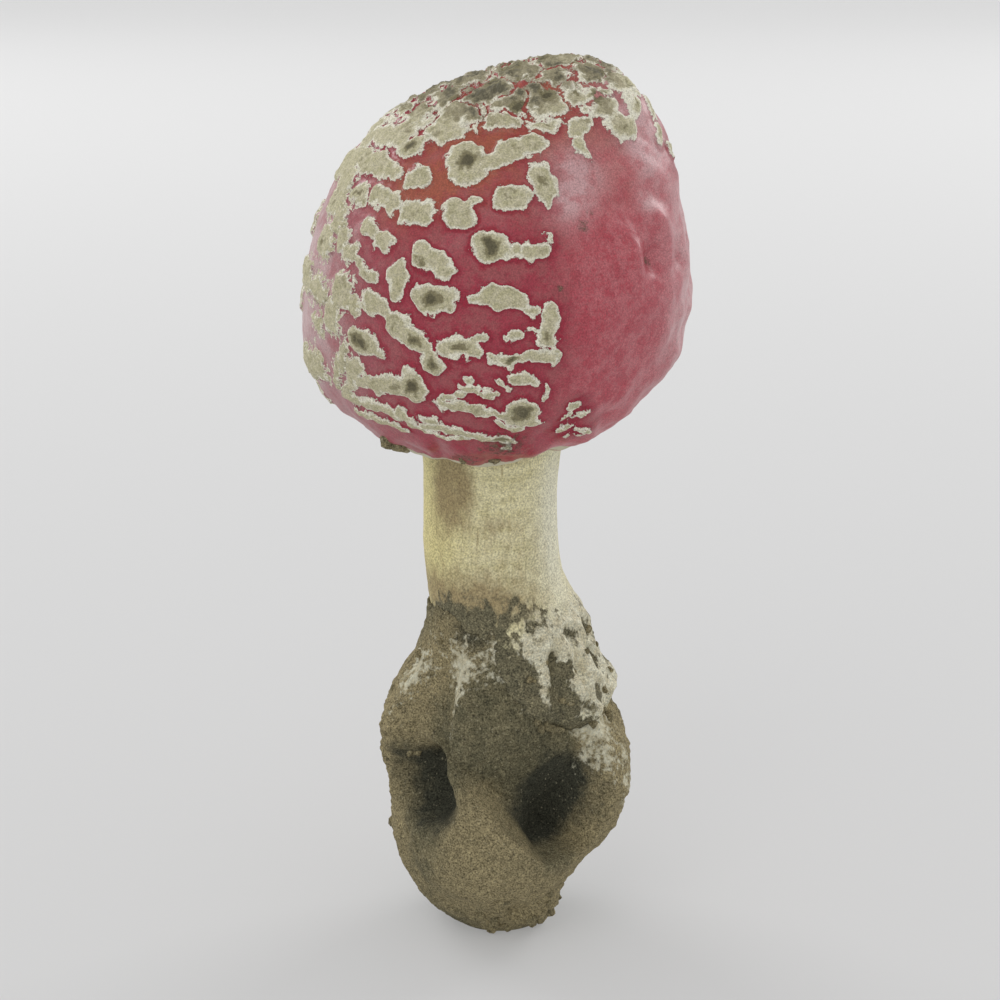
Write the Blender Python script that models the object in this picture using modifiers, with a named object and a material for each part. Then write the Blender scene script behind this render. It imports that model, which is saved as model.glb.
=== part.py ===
"""Fly agaric mushroom in its closed button stage, picked with its bulb in a clod of soil.

The mushroom stands upright on the clod. Its front faces -Y and its stalk follows the Z axis.
Three solids are built: the red cap with its warts, the cream stalk with its bulb, and the soil.
"""

import math
import random

import bmesh
import bpy
from mathutils import Vector

MM = 0.001
FRONT = -90.0  # azimuth of the side that faces -Y; azimuth 0 is +X

# Cap: a globe that swells towards its tilted crown, open below at the rim.
CAP_CENTRE = Vector((0.8, 0.0, 113.0)) * MM
CAP_RADIUS = 30.4 * MM
CAP_COLUMNS = 48
CAP_ROWS = 30
RIM_HEIGHT = 86.2 * MM
RIM_WAVE = 0.7 * MM
RIM_RISE = 2.5 * MM  # the rim is higher on the right of the front, round this azimuth
RIM_RISE_AZIMUTH = -42.0
RIM_RISE_REACH = 40.0
# Each swelling: azimuth, elevation, spread in degrees, and height. A negative height is a hollow.
CAP_SWELLINGS = (
    (-4, 61, 20, 8.4 * MM),
    (180, 65, 24, 1.4 * MM),
    (180, -26, 15, 3.0 * MM),
    (0, 0, 32, 1.0 * MM),
    (FRONT, 10, 40, 1.2 * MM),
    (90, 15, 45, 1.0 * MM),
    (-25, -58, 11, -1.8 * MM),
    (-165, -55, 12, 0.8 * MM),
    (-38, 15, 5, -0.9 * MM),
    (-30, 3, 6, 0.6 * MM),
    (-44, -9, 6, -0.6 * MM),
    (-20, -20, 7, 0.6 * MM),
    (-18, -35, 6, -0.8 * MM),
    (-60, 30, 9, -0.5 * MM),
    (40, -5, 9, 0.7 * MM),
    (70, 30, 12, -0.8 * MM),
    (130, -20, 12, 0.8 * MM),
)

# Warts: low patches of torn veil, rooted in the skin of the cap.
WART_ROOT = 1.6 * MM
WART_SHOULDER = 0.7 * MM
WART_CROWN = 1.2 * MM
WART_TOP_SHARE = 0.66
WART_RAGGEDNESS = 0.16
FRONT_SIDES = 10
BACK_SIDES = 8
# Each front wart: azimuth, elevation, width and height in millimetres, and turn in degrees.
FRONT_WARTS = (
    (-144, 70, 6.5, 6.0, 10),
    (-92, 72, 6.5, 5.5, 0),
    (-50, 73, 6.5, 5.5, 20),
    (-118, 59, 7.0, 6.0, 0),
    (-98, 62, 5.0, 4.4, 10),
    (-76, 64, 6.0, 6.0, 0),
    (-65, 57, 3.4, 3.2, 0),
    (-54, 64, 5.8, 5.8, 10),
    (-36, 59, 5.4, 5.0, 0),
    (-34, 50, 7.2, 5.6, 0),
    (-54, 50, 4.4, 7.2, 0),
    (-80, 51, 9.0, 5.2, 6),
    (-101, 47, 7.2, 6.4, 0),
    (-14, 43, 5.6, 7.0, 0),
    (-7, 33, 4.4, 6.0, 0),
    (-130, 51, 4.8, 4.6, 0),
    (-150, 54, 6.4, 5.4, 0),
    (-121, 42, 5.8, 5.0, -20),
    (-146, 44, 9.0, 5.4, 0),
    (-133, 41, 3.8, 3.2, 0),
    (-144, 33, 4.6, 4.6, 0),
    (-130, 33, 6.0, 5.4, -30),
    (-116, 31, 6.6, 4.6, 0),
    (-102, 31, 7.6, 5.2, 14),
    (-85, 36, 6.0, 5.2, 0),
    (-72, 39, 5.0, 6.8, 10),
    (-155, 18, 5.4, 6.4, 0),
    (-129, 23, 7.4, 5.0, -40),
    (-139, 13, 5.4, 5.6, -50),
    (-109, 18, 8.6, 5.0, -24),
    (-92, 21, 7.0, 5.4, 0),
    (-79, 21, 5.6, 4.6, 0),
    (-119, 12, 3.8, 6.6, -8),
    (-107, 8, 8.4, 5.6, 0),
    (-89, 7, 11.0, 4.4, 0),
    (-74, 1, 4.2, 8.4, 0),
    (-84, -1, 5.0, 2.4, 0),
    (-154, 4, 5.6, 5.4, 0),
    (-139, 3, 5.6, 4.4, -40),
    (-147, -6, 6.6, 3.6, -20),
    (-124, 1, 8.0, 3.8, -35),
    (-114, -5, 8.0, 3.8, -35),
    (-105, -11, 6.6, 3.8, -35),
    (-99, -5, 8.4, 4.2, 0),
    (-132, -8, 7.6, 4.4, -12),
    (-83, -8, 11.0, 4.0, 0),
    (-98, -16, 2.8, 2.4, 0),
    (-140, -20, 8.6, 3.4, -18),
    (-127, -20, 6.6, 3.8, 0),
    (-114, -19, 7.6, 5.4, -10),
    (-82, -16, 9.4, 3.4, 0),
    (-98, -24, 9.6, 5.6, 0),
    (-81, -27, 6.4, 6.2, 0),
    (-133, -31, 11.0, 2.8, -12),
    (-117, -31, 9.0, 2.8, -14),
    (-103, -35, 9.0, 3.0, -10),
    (-61, -31, 5.8, 5.6, -35),
    (-168, 62, 8.0, 5.0, 0),
    (-178, 54, 7.0, 5.0, 10),
)
# The other sides carry warts in rings, apart from a bald sector on the right.
BACK_RINGS = (52, 37, 22, 7, -8, -22, -35)
BACK_START = 24.0
BACK_END = 196.0
BACK_PITCH = 12.5 * MM
BACK_WART = (9.4, 6.0)
BACK_STRAY = 4.0
BACK_SIZES = (0.72, 1.2)
BACK_TURN = 25.0
BACK_SEED = 11
CROWN_RING = 71.0
CROWN_WARTS = (10, 65, 125, 180)
CROWN_WART = (7.0, 6.0)
POLE = 88.0
RAGGED_SEED = 5

# Stalk: outline as radius, height and sideways shift in millimetres, from the veil to the bulb.
STALK_STEPS = 36
STALK_ROWS = 24
STALK_OUTLINE = (
    (12.6, 90.4, 0.0),
    (12.6, 89.4, 0.0),
    (11.9, 86.4, -0.1),
    (11.4, 83.0, -0.2),
    (11.2, 78.0, -0.3),
    (11.4, 70.0, -0.2),
    (11.5, 65.0, 0.2),
    (12.0, 61.0, 1.1),
    (13.0, 56.0, 2.8),
    (13.5, 50.0, 3.4),
    (14.6, 45.0, 5.0),
    (13.4, 40.0, 6.2),
    (9.5, 36.5, 6.4),
    (4.5, 34.5, 6.4),
)
BULB_MIDDLE = 4.0 * MM  # the bulb's forms are pushed in and out from this level axis
BULB_REACH = 15.0 * MM
RUN_OUT = 1.45  # how much further a form runs out upwards than downwards
# Ridges left on the bulb by the torn volva. Each form on a turned body is given by its azimuth,
# height, half width, half height and relief in millimetres, and by how sharp its edge is.
BULB_RIDGES = (
    (-52, 47.5, 2.2, 4.6, 2.0, 3.0),
    (-36, 44.5, 2.0, 4.4, 2.0, 3.0),
    (-18, 49.0, 3.5, 1.5, 1.0, 2.0),
    (5, 44.0, 4.0, 1.6, 1.1, 2.0),
    (-62, 54.5, 3.0, 1.5, 0.7, 2.0),
    (25, 50.0, 4.0, 1.5, 0.9, 2.0),
)

# Soil: outline as radius, height and sideways shift in millimetres, from its mouth to its foot.
SOIL_COLUMNS = 68
SOIL_ROWS = 34
SOIL_MIDDLE = 2.0 * MM
SOIL_REACH = 19.0 * MM
FOOT_HEIGHT = 0.5 * MM  # everything below stays flat
SOIL_OUTLINE = (
    (12.4, 60.5, 0.2),
    (13.0, 56.0, 0.6),
    (14.2, 50.0, 1.3),
    (17.0, 44.0, 1.6),
    (20.0, 38.0, 2.1),
    (21.0, 32.0, 2.5),
    (20.6, 26.0, 2.8),
    (19.4, 19.0, 2.0),
    (17.0, 12.0, 0.8),
    (13.6, 6.0, 0.2),
    (10.6, 2.2, 0.8),
    (8.2, 0.0, 1.2),
)
# Hollows and lumps of the clod.
SOIL_FORMS = (
    (-84, 33.0, 6.0, 5.0, -1.6, 2.0),
    (-137, 28.5, 6.8, 5.2, -8.0, 5.0),
    (-112, 34.0, 3.4, 12.0, 1.6, 3.0),
    (-94, 15.0, 12.0, 5.6, 2.6, 4.0),
    (-28, 26.0, 4.5, 9.0, 1.6, 2.4),
    (-40, 53.0, 11.0, 10.0, -5.6, 2.6),
    (-40, 44.0, 11.0, 8.0, -1.5, 2.0),
    (10, 54.0, 12.0, 10.0, -5.0, 2.6),
    (-155, 43.5, 3.0, 2.2, 1.1, 2.0),
    (-172, 34.0, 5.0, 4.0, 0.6, 2.0),
    (178, 27.5, 4.0, 2.0, -0.8, 2.0),
    (150, 40.0, 6.0, 5.0, 1.4, 2.0),
    (105, 24.0, 8.0, 6.0, -2.6, 3.0),
    (60, 34.0, 7.0, 5.0, 1.4, 2.0),
    (75, 14.0, 7.0, 4.0, 1.2, 2.0),
    (-15, 9.0, 9.0, 6.0, -2.2, 2.0),
    (-62, 6.0, 4.0, 2.6, 1.0, 2.4),
    (135, 12.0, 6.0, 5.0, -1.8, 2.0),
)
# The large hollow low on the right has crisp sides that lean apart upwards from a level foot. It is
# deepest beside its right edge, and its floor rises to the surface at its top.
HOLLOW_AZIMUTH = -56.0
HOLLOW_FOOT = 18.6 * MM
HOLLOW_FOOT_WIDTH = 9.0 * MM
HOLLOW_LEFT_LEAN = math.radians(44.0)
HOLLOW_RIGHT_LEAN = math.radians(8.0)
HOLLOW_RISE = (4.0 * MM, 27.0 * MM)  # heights above the foot where the floor starts and ends to rise
HOLLOW_DEPTH = 11.0 * MM
HOLLOW_LIP = 2.4 * MM
HOLLOW_TAPER = (6.0 * MM, 18.0 * MM)  # distances from the right edge over which it gets shallower
HOLLOW_TAPER_SHARE = 0.35
MOUTH_FOOT = 50.0 * MM  # the neck above this height rises and falls with the ragged mouth
MOUTH_WAVE = 2.0 * MM
POCKET_GAP = 0.35 * MM
VEIL_SOCKET_RADIUS = 13.0 * MM
VEIL_SOCKET_TOP = 90.75 * MM
SHARP_ANGLE = 50.0


def clear_scene():
    """Remove every object of the start-up scene."""
    for item in list(bpy.data.objects):
        bpy.data.objects.remove(item, do_unlink=True)


def material(name, colour, roughness):
    """A Principled material of one colour."""
    made = bpy.data.materials.new(name)
    made.use_nodes = True
    shader = made.node_tree.nodes["Principled BSDF"]
    shader.inputs["Base Color"].default_value = (*colour, 1.0)
    shader.inputs["Roughness"].default_value = roughness
    made.diffuse_color = (*colour, 1.0)
    return made


def add_object(name, mesh_data, collection, finish=None):
    """Link a mesh to a collection as an object at the origin."""
    item = bpy.data.objects.new(name, mesh_data)
    collection.objects.link(item)
    if finish:
        mesh_data.materials.append(finish)
    return item


def object_from_bmesh(name, bm, collection, finish=None):
    """Turn a bmesh, its faces triangulated and facing out, into an object."""
    bmesh.ops.triangulate(bm, faces=bm.faces)
    bmesh.ops.recalc_face_normals(bm, faces=bm.faces)
    mesh_data = bpy.data.meshes.new(name)
    bm.to_mesh(mesh_data)
    bm.free()
    return add_object(name, mesh_data, collection, finish)


def smooth_round(item):
    """Shade a grown surface smooth, with edges only where it turns sharply."""
    item.data.shade_smooth()
    item.data.set_sharp_from_angle(angle=math.radians(SHARP_ANGLE))


def apply_boolean(item, operation, other=None, collection=None):
    """Join or cut an object with another object or a collection, and apply the result."""
    boolean = item.modifiers.new(operation.title(), "BOOLEAN")
    boolean.operation = operation
    boolean.solver = "EXACT"
    if collection:
        boolean.operand_type = "COLLECTION"
        boolean.collection = collection
    else:
        boolean.object = other
    bpy.context.view_layer.update()
    evaluated = item.evaluated_get(bpy.context.evaluated_depsgraph_get())
    result = bpy.data.meshes.new_from_object(evaluated)
    item.modifiers.clear()
    item.data = result


def as_helper(item):
    """Keep a cutter out of the model."""
    item.hide_render = True
    item.display_type = "WIRE"


def direction(azimuth, elevation):
    """Unit vector at an azimuth and an elevation in degrees."""
    turn, rise = math.radians(azimuth), math.radians(elevation)
    level = math.cos(rise)
    return Vector((level * math.cos(turn), level * math.sin(turn), math.sin(rise)))


def bell(distance, spread):
    """Smooth weight that falls from one at no distance."""
    return math.exp(-0.5 * (distance / spread) ** 2)


def cap_point(outward, lift=0.0):
    """Point of the cap's skin in a direction from its centre, lifted off the skin."""
    reach = CAP_RADIUS
    for azimuth, elevation, spread, height in CAP_SWELLINGS:
        away = math.degrees(outward.angle(direction(azimuth, elevation)))
        reach += height * bell(away, spread)
    return CAP_CENTRE + outward * (reach + lift)


def rim_height(outward):
    """Height of the wavy rim below a direction from the cap's centre."""
    turn = math.atan2(outward.y, outward.x)
    wave = 0.6 * math.sin(2 * turn + 0.4) + 0.4 * math.sin(5 * turn)
    away = abs((math.degrees(turn) - RIM_RISE_AZIMUTH + 180) % 360 - 180)
    return RIM_HEIGHT + RIM_WAVE * wave + RIM_RISE * math.exp(-((away / RIM_RISE_REACH) ** 4))


def build_cap_skin(collection, finish):
    """The bare cap: a sphere shaped by its swellings and cut level at the rim."""
    bm = bmesh.new()
    bmesh.ops.create_uvsphere(bm, u_segments=CAP_COLUMNS, v_segments=CAP_ROWS, radius=1.0)
    for vertex in bm.verts:
        outward = vertex.co.normalized()
        point = cap_point(outward)
        bottom = rim_height(outward)
        if point.z < bottom:
            point = CAP_CENTRE + outward * ((CAP_CENTRE.z - bottom) / -outward.z)
        vertex.co = point
    return object_from_bmesh("cap", bm, collection, finish)


def build_wart(name, collection, spec, sides, chance):
    """One wart: a ragged patch that follows the skin, with its root sunk in the cap."""
    azimuth, elevation, width, height, turn = spec
    middle = direction(azimuth, elevation)
    east = Vector((0, 0, 1)).cross(middle).normalized()
    north = middle.cross(east)
    tilt = math.radians(turn)
    ragged = [1 + chance.uniform(-WART_RAGGEDNESS, WART_RAGGEDNESS) for _ in range(sides)]

    def corner(index, share, lift):
        angle = 2 * math.pi * (index + 0.5) / sides
        across = 0.5 * width * MM * share * ragged[index] * math.cos(angle)
        up = 0.5 * height * MM * share * ragged[index] * math.sin(angle)
        along = across * math.cos(tilt) - up * math.sin(tilt)
        rise = across * math.sin(tilt) + up * math.cos(tilt)
        outward = (middle + (east * along + north * rise) / CAP_RADIUS).normalized()
        return cap_point(outward, lift)

    bm = bmesh.new()
    bmesh.ops.create_circle(bm, cap_ends=True, segments=sides, radius=1.0)
    bm.verts.ensure_lookup_table()
    for index, vertex in enumerate(bm.verts):
        vertex.co = corner(index, 1.0, -WART_ROOT)
    root = top = bm.faces[:]
    for share, lift in ((1.0, WART_SHOULDER), (WART_TOP_SHARE, WART_CROWN)):
        raised = bmesh.ops.extrude_face_region(bm, geom=top)["geom"]
        if top is not root:
            bmesh.ops.delete(bm, geom=top, context="FACES_ONLY")
        ring = [part for part in raised if isinstance(part, bmesh.types.BMVert)]
        top = [part for part in raised if isinstance(part, bmesh.types.BMFace)]
        for index, vertex in enumerate(ring):
            vertex.co = corner(index, share, lift)
    return object_from_bmesh(name, bm, collection)


def back_warts():
    """Wart specs for the crown and for the rings round the sides and the back."""
    chance = random.Random(BACK_SEED)
    width, height = BACK_WART
    specs = [(azimuth, CROWN_RING, *CROWN_WART, azimuth) for azimuth in CROWN_WARTS]
    specs.append((0, POLE, *CROWN_WART, 0))
    for row, elevation in enumerate(BACK_RINGS):
        around = CAP_RADIUS * math.cos(math.radians(elevation))
        span = math.radians(BACK_END - BACK_START) * around
        count = round(span / BACK_PITCH)
        for index in range(count):
            share = (index + 0.25 + 0.5 * (row % 2)) / count
            stray = chance.uniform(-BACK_STRAY, BACK_STRAY)
            azimuth = BACK_START + share * (BACK_END - BACK_START) + stray
            lift = chance.uniform(-BACK_STRAY, BACK_STRAY)
            size = chance.uniform(*BACK_SIZES)
            turn = chance.uniform(-BACK_TURN, BACK_TURN)
            specs.append((azimuth, elevation + lift, width * size, height * size, turn))
    return specs


def build_cap(parts, helpers, finish):
    """The red cap with every wart joined to it and a socket below for the veil."""
    chance = random.Random(RAGGED_SEED)
    cap = build_cap_skin(parts, finish)
    warts = bpy.data.collections.new("warts")
    helpers.children.link(warts)
    for index, spec in enumerate(FRONT_WARTS):
        build_wart(f"front_wart_{index}", warts, spec, FRONT_SIDES, chance)
    for index, spec in enumerate(back_warts()):
        build_wart(f"back_wart_{index}", warts, spec, BACK_SIDES, chance)
    apply_boolean(cap, "UNION", collection=warts)
    for item in list(warts.objects):
        bpy.data.objects.remove(item, do_unlink=True)
    socket = build_veil_socket(helpers)
    apply_boolean(cap, "DIFFERENCE", other=socket)
    smooth_round(cap)
    return cap


def build_veil_socket(helpers):
    """Cutter for the shallow recess inside the rim, where the veil closes the cap."""
    depth = 2 * (VEIL_SOCKET_TOP - RIM_HEIGHT)
    bm = bmesh.new()
    bmesh.ops.create_cone(
        bm,
        cap_ends=True,
        segments=STALK_STEPS,
        radius1=VEIL_SOCKET_RADIUS,
        radius2=VEIL_SOCKET_RADIUS,
        depth=depth,
    )
    bmesh.ops.translate(bm, verts=bm.verts, vec=(0, 0, VEIL_SOCKET_TOP - depth / 2))
    socket = object_from_bmesh("veil_socket", bm, helpers)
    as_helper(socket)
    return socket


def through(points, share):
    """Point on a smooth line through a list of points; share runs from 0 to 1."""
    place = share * (len(points) - 1)
    index = min(int(place), len(points) - 2)
    t = place - index
    before = points[max(index - 1, 0)]
    start, end = points[index], points[index + 1]
    after = points[min(index + 2, len(points) - 1)]
    slope_in = (end - before) / 2
    slope_out = (after - start) / 2
    bow = start * (2 * t**3 - 3 * t**2 + 1) + end * (3 * t**2 - 2 * t**3)
    return bow + slope_in * (t**3 - 2 * t**2 + t) + slope_out * (t**3 - t**2)


def turned_body(name, outline, rows, columns, collection):
    """Turn an outline about Z with a Screw, closed on the axis, then shift each level sideways."""
    line = [Vector(point) * MM for point in outline]
    stations = [through(line, row / (rows - 1)) for row in range(rows)]
    profile = bpy.data.meshes.new(name)
    ends = (Vector((0, stations[0].y, 0)), Vector((0, stations[-1].y, 0)))
    points = [ends[0], *stations, ends[1]]
    edges = [(index, index + 1) for index in range(len(points) - 1)]
    profile.from_pydata([(point.x, 0, point.y) for point in points], edges, [])
    item = add_object(name, profile, collection)
    screw = item.modifiers.new("Turn", "SCREW")
    screw.steps = columns
    screw.render_steps = columns
    screw.use_merge_vertices = True
    screw.merge_threshold = 0.00001
    bpy.context.view_layer.update()
    evaluated = item.evaluated_get(bpy.context.evaluated_depsgraph_get())
    turned = bpy.data.meshes.new_from_object(evaluated)
    bpy.data.objects.remove(item, do_unlink=True)
    for vertex in turned.vertices:
        vertex.co.x += shift_at(stations, vertex.co.z)
    return turned


def shift_at(stations, height):
    """Sideways shift of the outline at a height, between its two nearest stations."""
    for upper, lower in zip(stations, stations[1:]):
        if upper.y >= height >= lower.y and upper.y > lower.y:
            share = (upper.y - height) / (upper.y - lower.y)
            return upper.z + share * (lower.z - upper.z)
    return stations[0].z if height > stations[0].y else stations[-1].z


def raise_forms(mesh_data, shift, forms, reach):
    """Push a turned body in or out, level by level, where its lumps and hollows are."""
    for vertex in mesh_data.vertices:
        middle = Vector((shift, 0, vertex.co.z))
        outward = vertex.co - middle
        if outward.length < MM:
            continue
        push = 0.0
        turn = math.degrees(math.atan2(outward.y, outward.x))
        for azimuth, height, half_width, half_height, relief, edge in forms:
            away = (turn - azimuth + 180) % 360 - 180
            across = math.radians(away) * reach / (half_width * MM)
            along = (vertex.co.z - height * MM) / (half_height * MM)
            along /= RUN_OUT if along > 0 else 1.0
            push += relief * MM * math.exp(-0.7 * math.hypot(across, along) ** edge)
        vertex.co += outward.normalized() * push


def smooth_step(value, low, high):
    """Smooth rise from zero at the low value to one at the high value."""
    share = min(max((value - low) / (high - low), 0.0), 1.0)
    return share * share * (3 - 2 * share)


def sink_hollow(mesh_data):
    """Push the soil in where its large hollow is."""
    for vertex in mesh_data.vertices:
        outward = vertex.co - Vector((SOIL_MIDDLE, 0, vertex.co.z))
        if outward.length < MM:
            continue
        turn = math.degrees(math.atan2(outward.y, outward.x))
        away = (turn - HOLLOW_AZIMUTH + 180) % 360 - 180
        across, high = math.radians(away) * SOIL_REACH, vertex.co.z - HOLLOW_FOOT
        half = HOLLOW_FOOT_WIDTH / 2
        from_left = (half + across) * math.cos(HOLLOW_LEFT_LEAN) + high * math.sin(HOLLOW_LEFT_LEAN)
        from_right = (half - across) * math.cos(HOLLOW_RIGHT_LEAN) + high * math.sin(HOLLOW_RIGHT_LEAN)
        depth = HOLLOW_DEPTH * (1 - smooth_step(high, *HOLLOW_RISE))
        depth *= 1 - HOLLOW_TAPER_SHARE * smooth_step(from_right, *HOLLOW_TAPER)
        for inside in (from_left, from_right, high):
            depth *= smooth_step(inside, -HOLLOW_LIP, HOLLOW_LIP)
        vertex.co -= outward.normalized() * depth


def build_stalk(parts, finish):
    """The cream stalk, flared at the top into the veil and swollen below into the bulb."""
    mesh_data = turned_body("stalk", STALK_OUTLINE, STALK_ROWS, STALK_STEPS, parts)
    raise_forms(mesh_data, BULB_MIDDLE, BULB_RIDGES, BULB_REACH)
    stalk = add_object("stalk", mesh_data, parts, finish)
    smooth_round(stalk)
    return stalk


def build_pocket(stalk, helpers):
    """Cutter for the bulb's place in the soil: the stalk, grown by the gap between them."""
    bm = bmesh.new()
    bm.from_mesh(stalk.data)
    bm.normal_update()
    for vertex in bm.verts:
        vertex.co += vertex.normal * POCKET_GAP
    pocket = object_from_bmesh("bulb_pocket", bm, helpers)
    as_helper(pocket)
    return pocket


def build_soil(parts, helpers, stalk, finish):
    """The clod of soil, hollowed for the bulb and standing on a small flat foot."""
    mesh_data = turned_body("soil", SOIL_OUTLINE, SOIL_ROWS, SOIL_COLUMNS, parts)
    foot = [vertex.index for vertex in mesh_data.vertices if vertex.co.z < FOOT_HEIGHT]
    settled = {index: mesh_data.vertices[index].co.copy() for index in foot}
    raise_forms(mesh_data, SOIL_MIDDLE, SOIL_FORMS, SOIL_REACH)
    sink_hollow(mesh_data)
    mouth = SOIL_OUTLINE[0][1] * MM
    for vertex in mesh_data.vertices:
        turn = math.atan2(vertex.co.y, vertex.co.x)
        neck = max(0.0, vertex.co.z - MOUTH_FOOT) / (mouth - MOUTH_FOOT)
        wave = 0.6 * math.sin(3 * turn + 0.8) + 0.4 * math.sin(7 * turn)
        vertex.co.z += MOUTH_WAVE * neck * wave
    for index, place in settled.items():
        mesh_data.vertices[index].co = place
    soil = add_object("soil", mesh_data, parts, finish)
    apply_boolean(soil, "DIFFERENCE", other=build_pocket(stalk, helpers))
    smooth_round(soil)
    return soil


def build_mushroom():
    """Build the whole mushroom in its own collection, and its cutters in another."""
    clear_scene()
    parts = bpy.data.collections.new("fly_agaric")
    helpers = bpy.data.collections.new("cutters")
    bpy.context.scene.collection.children.link(parts)
    bpy.context.scene.collection.children.link(helpers)
    build_cap(parts, helpers, material("cap_red", (0.34, 0.05, 0.07), 0.4))
    stalk = build_stalk(parts, material("stalk_cream", (0.62, 0.56, 0.36), 0.7))
    build_soil(parts, helpers, stalk, material("soil_brown", (0.12, 0.1, 0.06), 0.95))


build_mushroom()
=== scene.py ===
"""Finish of the fly agaric: its skin, torn veil, stalk and clod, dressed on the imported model.

Lengths in the tables are millimetres and angles are degrees; meshes are made in metres.
The mushroom faces -Y, its stalk follows Z, and azimuth 0 is +X.
"""

import logging
import math
import random
from dataclasses import dataclass, field
from enum import Enum

import bmesh
import bpy
import numpy as np
from mathutils import Euler, Matrix, Vector, noise


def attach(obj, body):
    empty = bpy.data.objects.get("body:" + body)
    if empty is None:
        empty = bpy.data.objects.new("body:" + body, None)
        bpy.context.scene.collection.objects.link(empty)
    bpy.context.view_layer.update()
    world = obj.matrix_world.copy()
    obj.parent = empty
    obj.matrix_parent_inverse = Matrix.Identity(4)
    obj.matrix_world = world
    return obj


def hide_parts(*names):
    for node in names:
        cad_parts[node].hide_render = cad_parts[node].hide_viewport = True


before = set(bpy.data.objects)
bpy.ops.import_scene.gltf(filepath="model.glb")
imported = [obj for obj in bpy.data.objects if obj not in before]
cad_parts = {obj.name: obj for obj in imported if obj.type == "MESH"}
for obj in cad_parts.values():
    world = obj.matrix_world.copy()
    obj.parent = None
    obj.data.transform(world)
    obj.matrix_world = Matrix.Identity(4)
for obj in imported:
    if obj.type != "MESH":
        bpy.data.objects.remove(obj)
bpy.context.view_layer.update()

MM = 0.001
FRONT = -90.0
UP = np.array((0.0, 0.0, 1.0))
BODY = "root"

Colour = tuple[float, float, float]
Place = tuple[float, float, float]
Span = tuple[float, float]
Rows = tuple[tuple[float, ...], ...]
Socket = bpy.types.NodeSocket
Number = Socket | float
Paint = Socket | Colour

log = logging.getLogger("fly_agaric")


class Slot(Enum):
    """The record's material slots."""

    CAP = "cap"
    STALK = "stalk"
    SOIL = "soil"


# ---------------------------------------------------------------------------
# Shapes and fields on arrays of points
# ---------------------------------------------------------------------------


def direction(azimuth: float, elevation: float) -> np.ndarray:
    """Unit vector at an azimuth and an elevation in degrees."""
    turn, rise = math.radians(azimuth), math.radians(elevation)
    return np.array((math.cos(rise) * math.cos(turn), math.cos(rise) * math.sin(turn), math.sin(rise)))


def smooth_step(value: np.ndarray, low: float, high: float) -> np.ndarray:
    """Smooth rise from 0 at low to 1 at high."""
    share = np.clip((value - low) / (high - low), 0.0, 1.0)
    return share * share * (3 - 2 * share)


def turn_from(turn: np.ndarray, azimuth: float) -> np.ndarray:
    """How far azimuths lie from one azimuth, from -180 to 180 degrees."""
    return (turn - azimuth + 180) % 360 - 180


def ripple(turn: np.ndarray, slow: int, fast: int, shift: float) -> np.ndarray:
    """Uneven wave, -1 to 1, round azimuths in radians: a slow swing and a fast one."""
    return 0.6 * np.sin(slow * turn + shift) + 0.4 * np.sin(fast * turn)


def unit(vectors: np.ndarray) -> np.ndarray:
    """Each row of vectors, one long."""
    return vectors / np.linalg.norm(vectors, axis=1, keepdims=True)


@dataclass(frozen=True)
class Relief:
    """Smooth random relief in space.

    Attributes:
        cell: Size of one bump in millimetres.
        seed: Shift that makes one relief differ from another.
        octaves: How many finer layers it adds up.
    """

    cell: float
    seed: float
    octaves: float = 1.0

    def at(self, points: np.ndarray) -> np.ndarray:
        """Work out the relief.

        Args:
            points: Points in millimetres.

        Returns:
            The relief at each point, about -1 to 1.
        """
        shift = Vector((self.seed, 1.7 * self.seed, -0.6 * self.seed))
        places = points / self.cell
        if self.octaves <= 1:
            return np.array([noise.noise(Vector(place) + shift) for place in places])
        return np.array(
            [noise.fractal(Vector(place) + shift, 1.0, 2.1, self.octaves) for place in places]
        )

    def lumps(self, points: np.ndarray) -> np.ndarray:
        """Round lumps, 1 at their tops, with sharp grooves between them, down to about -1."""
        return 1 - 3 * np.abs(self.at(points))

    def sway(self, points: np.ndarray) -> np.ndarray:
        """Random offset vectors at points in millimetres, from one relief for each axis."""
        axes = [Relief(self.cell, self.seed + 40.0 * axis).at(points) for axis in range(3)]
        return np.column_stack(axes)


@dataclass(frozen=True)
class Spot:
    """A soft mark round a direction on the cap, with its spread and strength."""

    azimuth: float
    elevation: float
    spread: float
    strength: float

    def at(self, outward: np.ndarray) -> np.ndarray:
        """Strength of the mark at unit directions."""
        away = np.degrees(np.arccos(np.clip(outward @ direction(self.azimuth, self.elevation), -1, 1)))
        return self.strength * np.exp(-0.5 * (away / self.spread) ** 2)


@dataclass(frozen=True)
class Form:
    """A lump, hollow or coloured patch on a turned body.

    Attributes:
        azimuth: Where it lies round the body, in degrees.
        height: Height of its middle.
        half_width: Half its width along the surface.
        half_height: Half its height.
        relief: How far it stands out, or how strong its colour is.
        edge: How sharp its edge is; 2 is soft.
        turn: Turn of its width from level, in degrees.
        trail: How many times wider it is to the left than to the right.
    """

    azimuth: float
    height: float
    half_width: float
    half_height: float
    relief: float
    edge: float = 2.0
    turn: float = 0.0
    trail: float = 1.0

    FALL = 0.7

    def at(self, turn: np.ndarray, height: np.ndarray, reach: float, run_out: float) -> np.ndarray:
        """Work out how far the form pushes the surface.

        Args:
            turn: Azimuths in degrees.
            height: Heights in millimetres.
            reach: Radius at which its width is measured.
            run_out: How much further it runs out upwards than downwards.

        Returns:
            The push at each place, outward above 0.
        """
        wide = np.radians(turn_from(turn, self.azimuth)) * reach
        high = height - self.height
        tilt = math.radians(self.turn)
        across = (wide * math.cos(tilt) + high * math.sin(tilt)) / self.half_width
        along = (high * math.cos(tilt) - wide * math.sin(tilt)) / self.half_height
        across = np.where(across < 0, across / self.trail, across)
        along = np.where(along > 0, along / run_out, along)
        return self.relief * np.exp(-self.FALL * np.hypot(across, along) ** self.edge)


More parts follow.
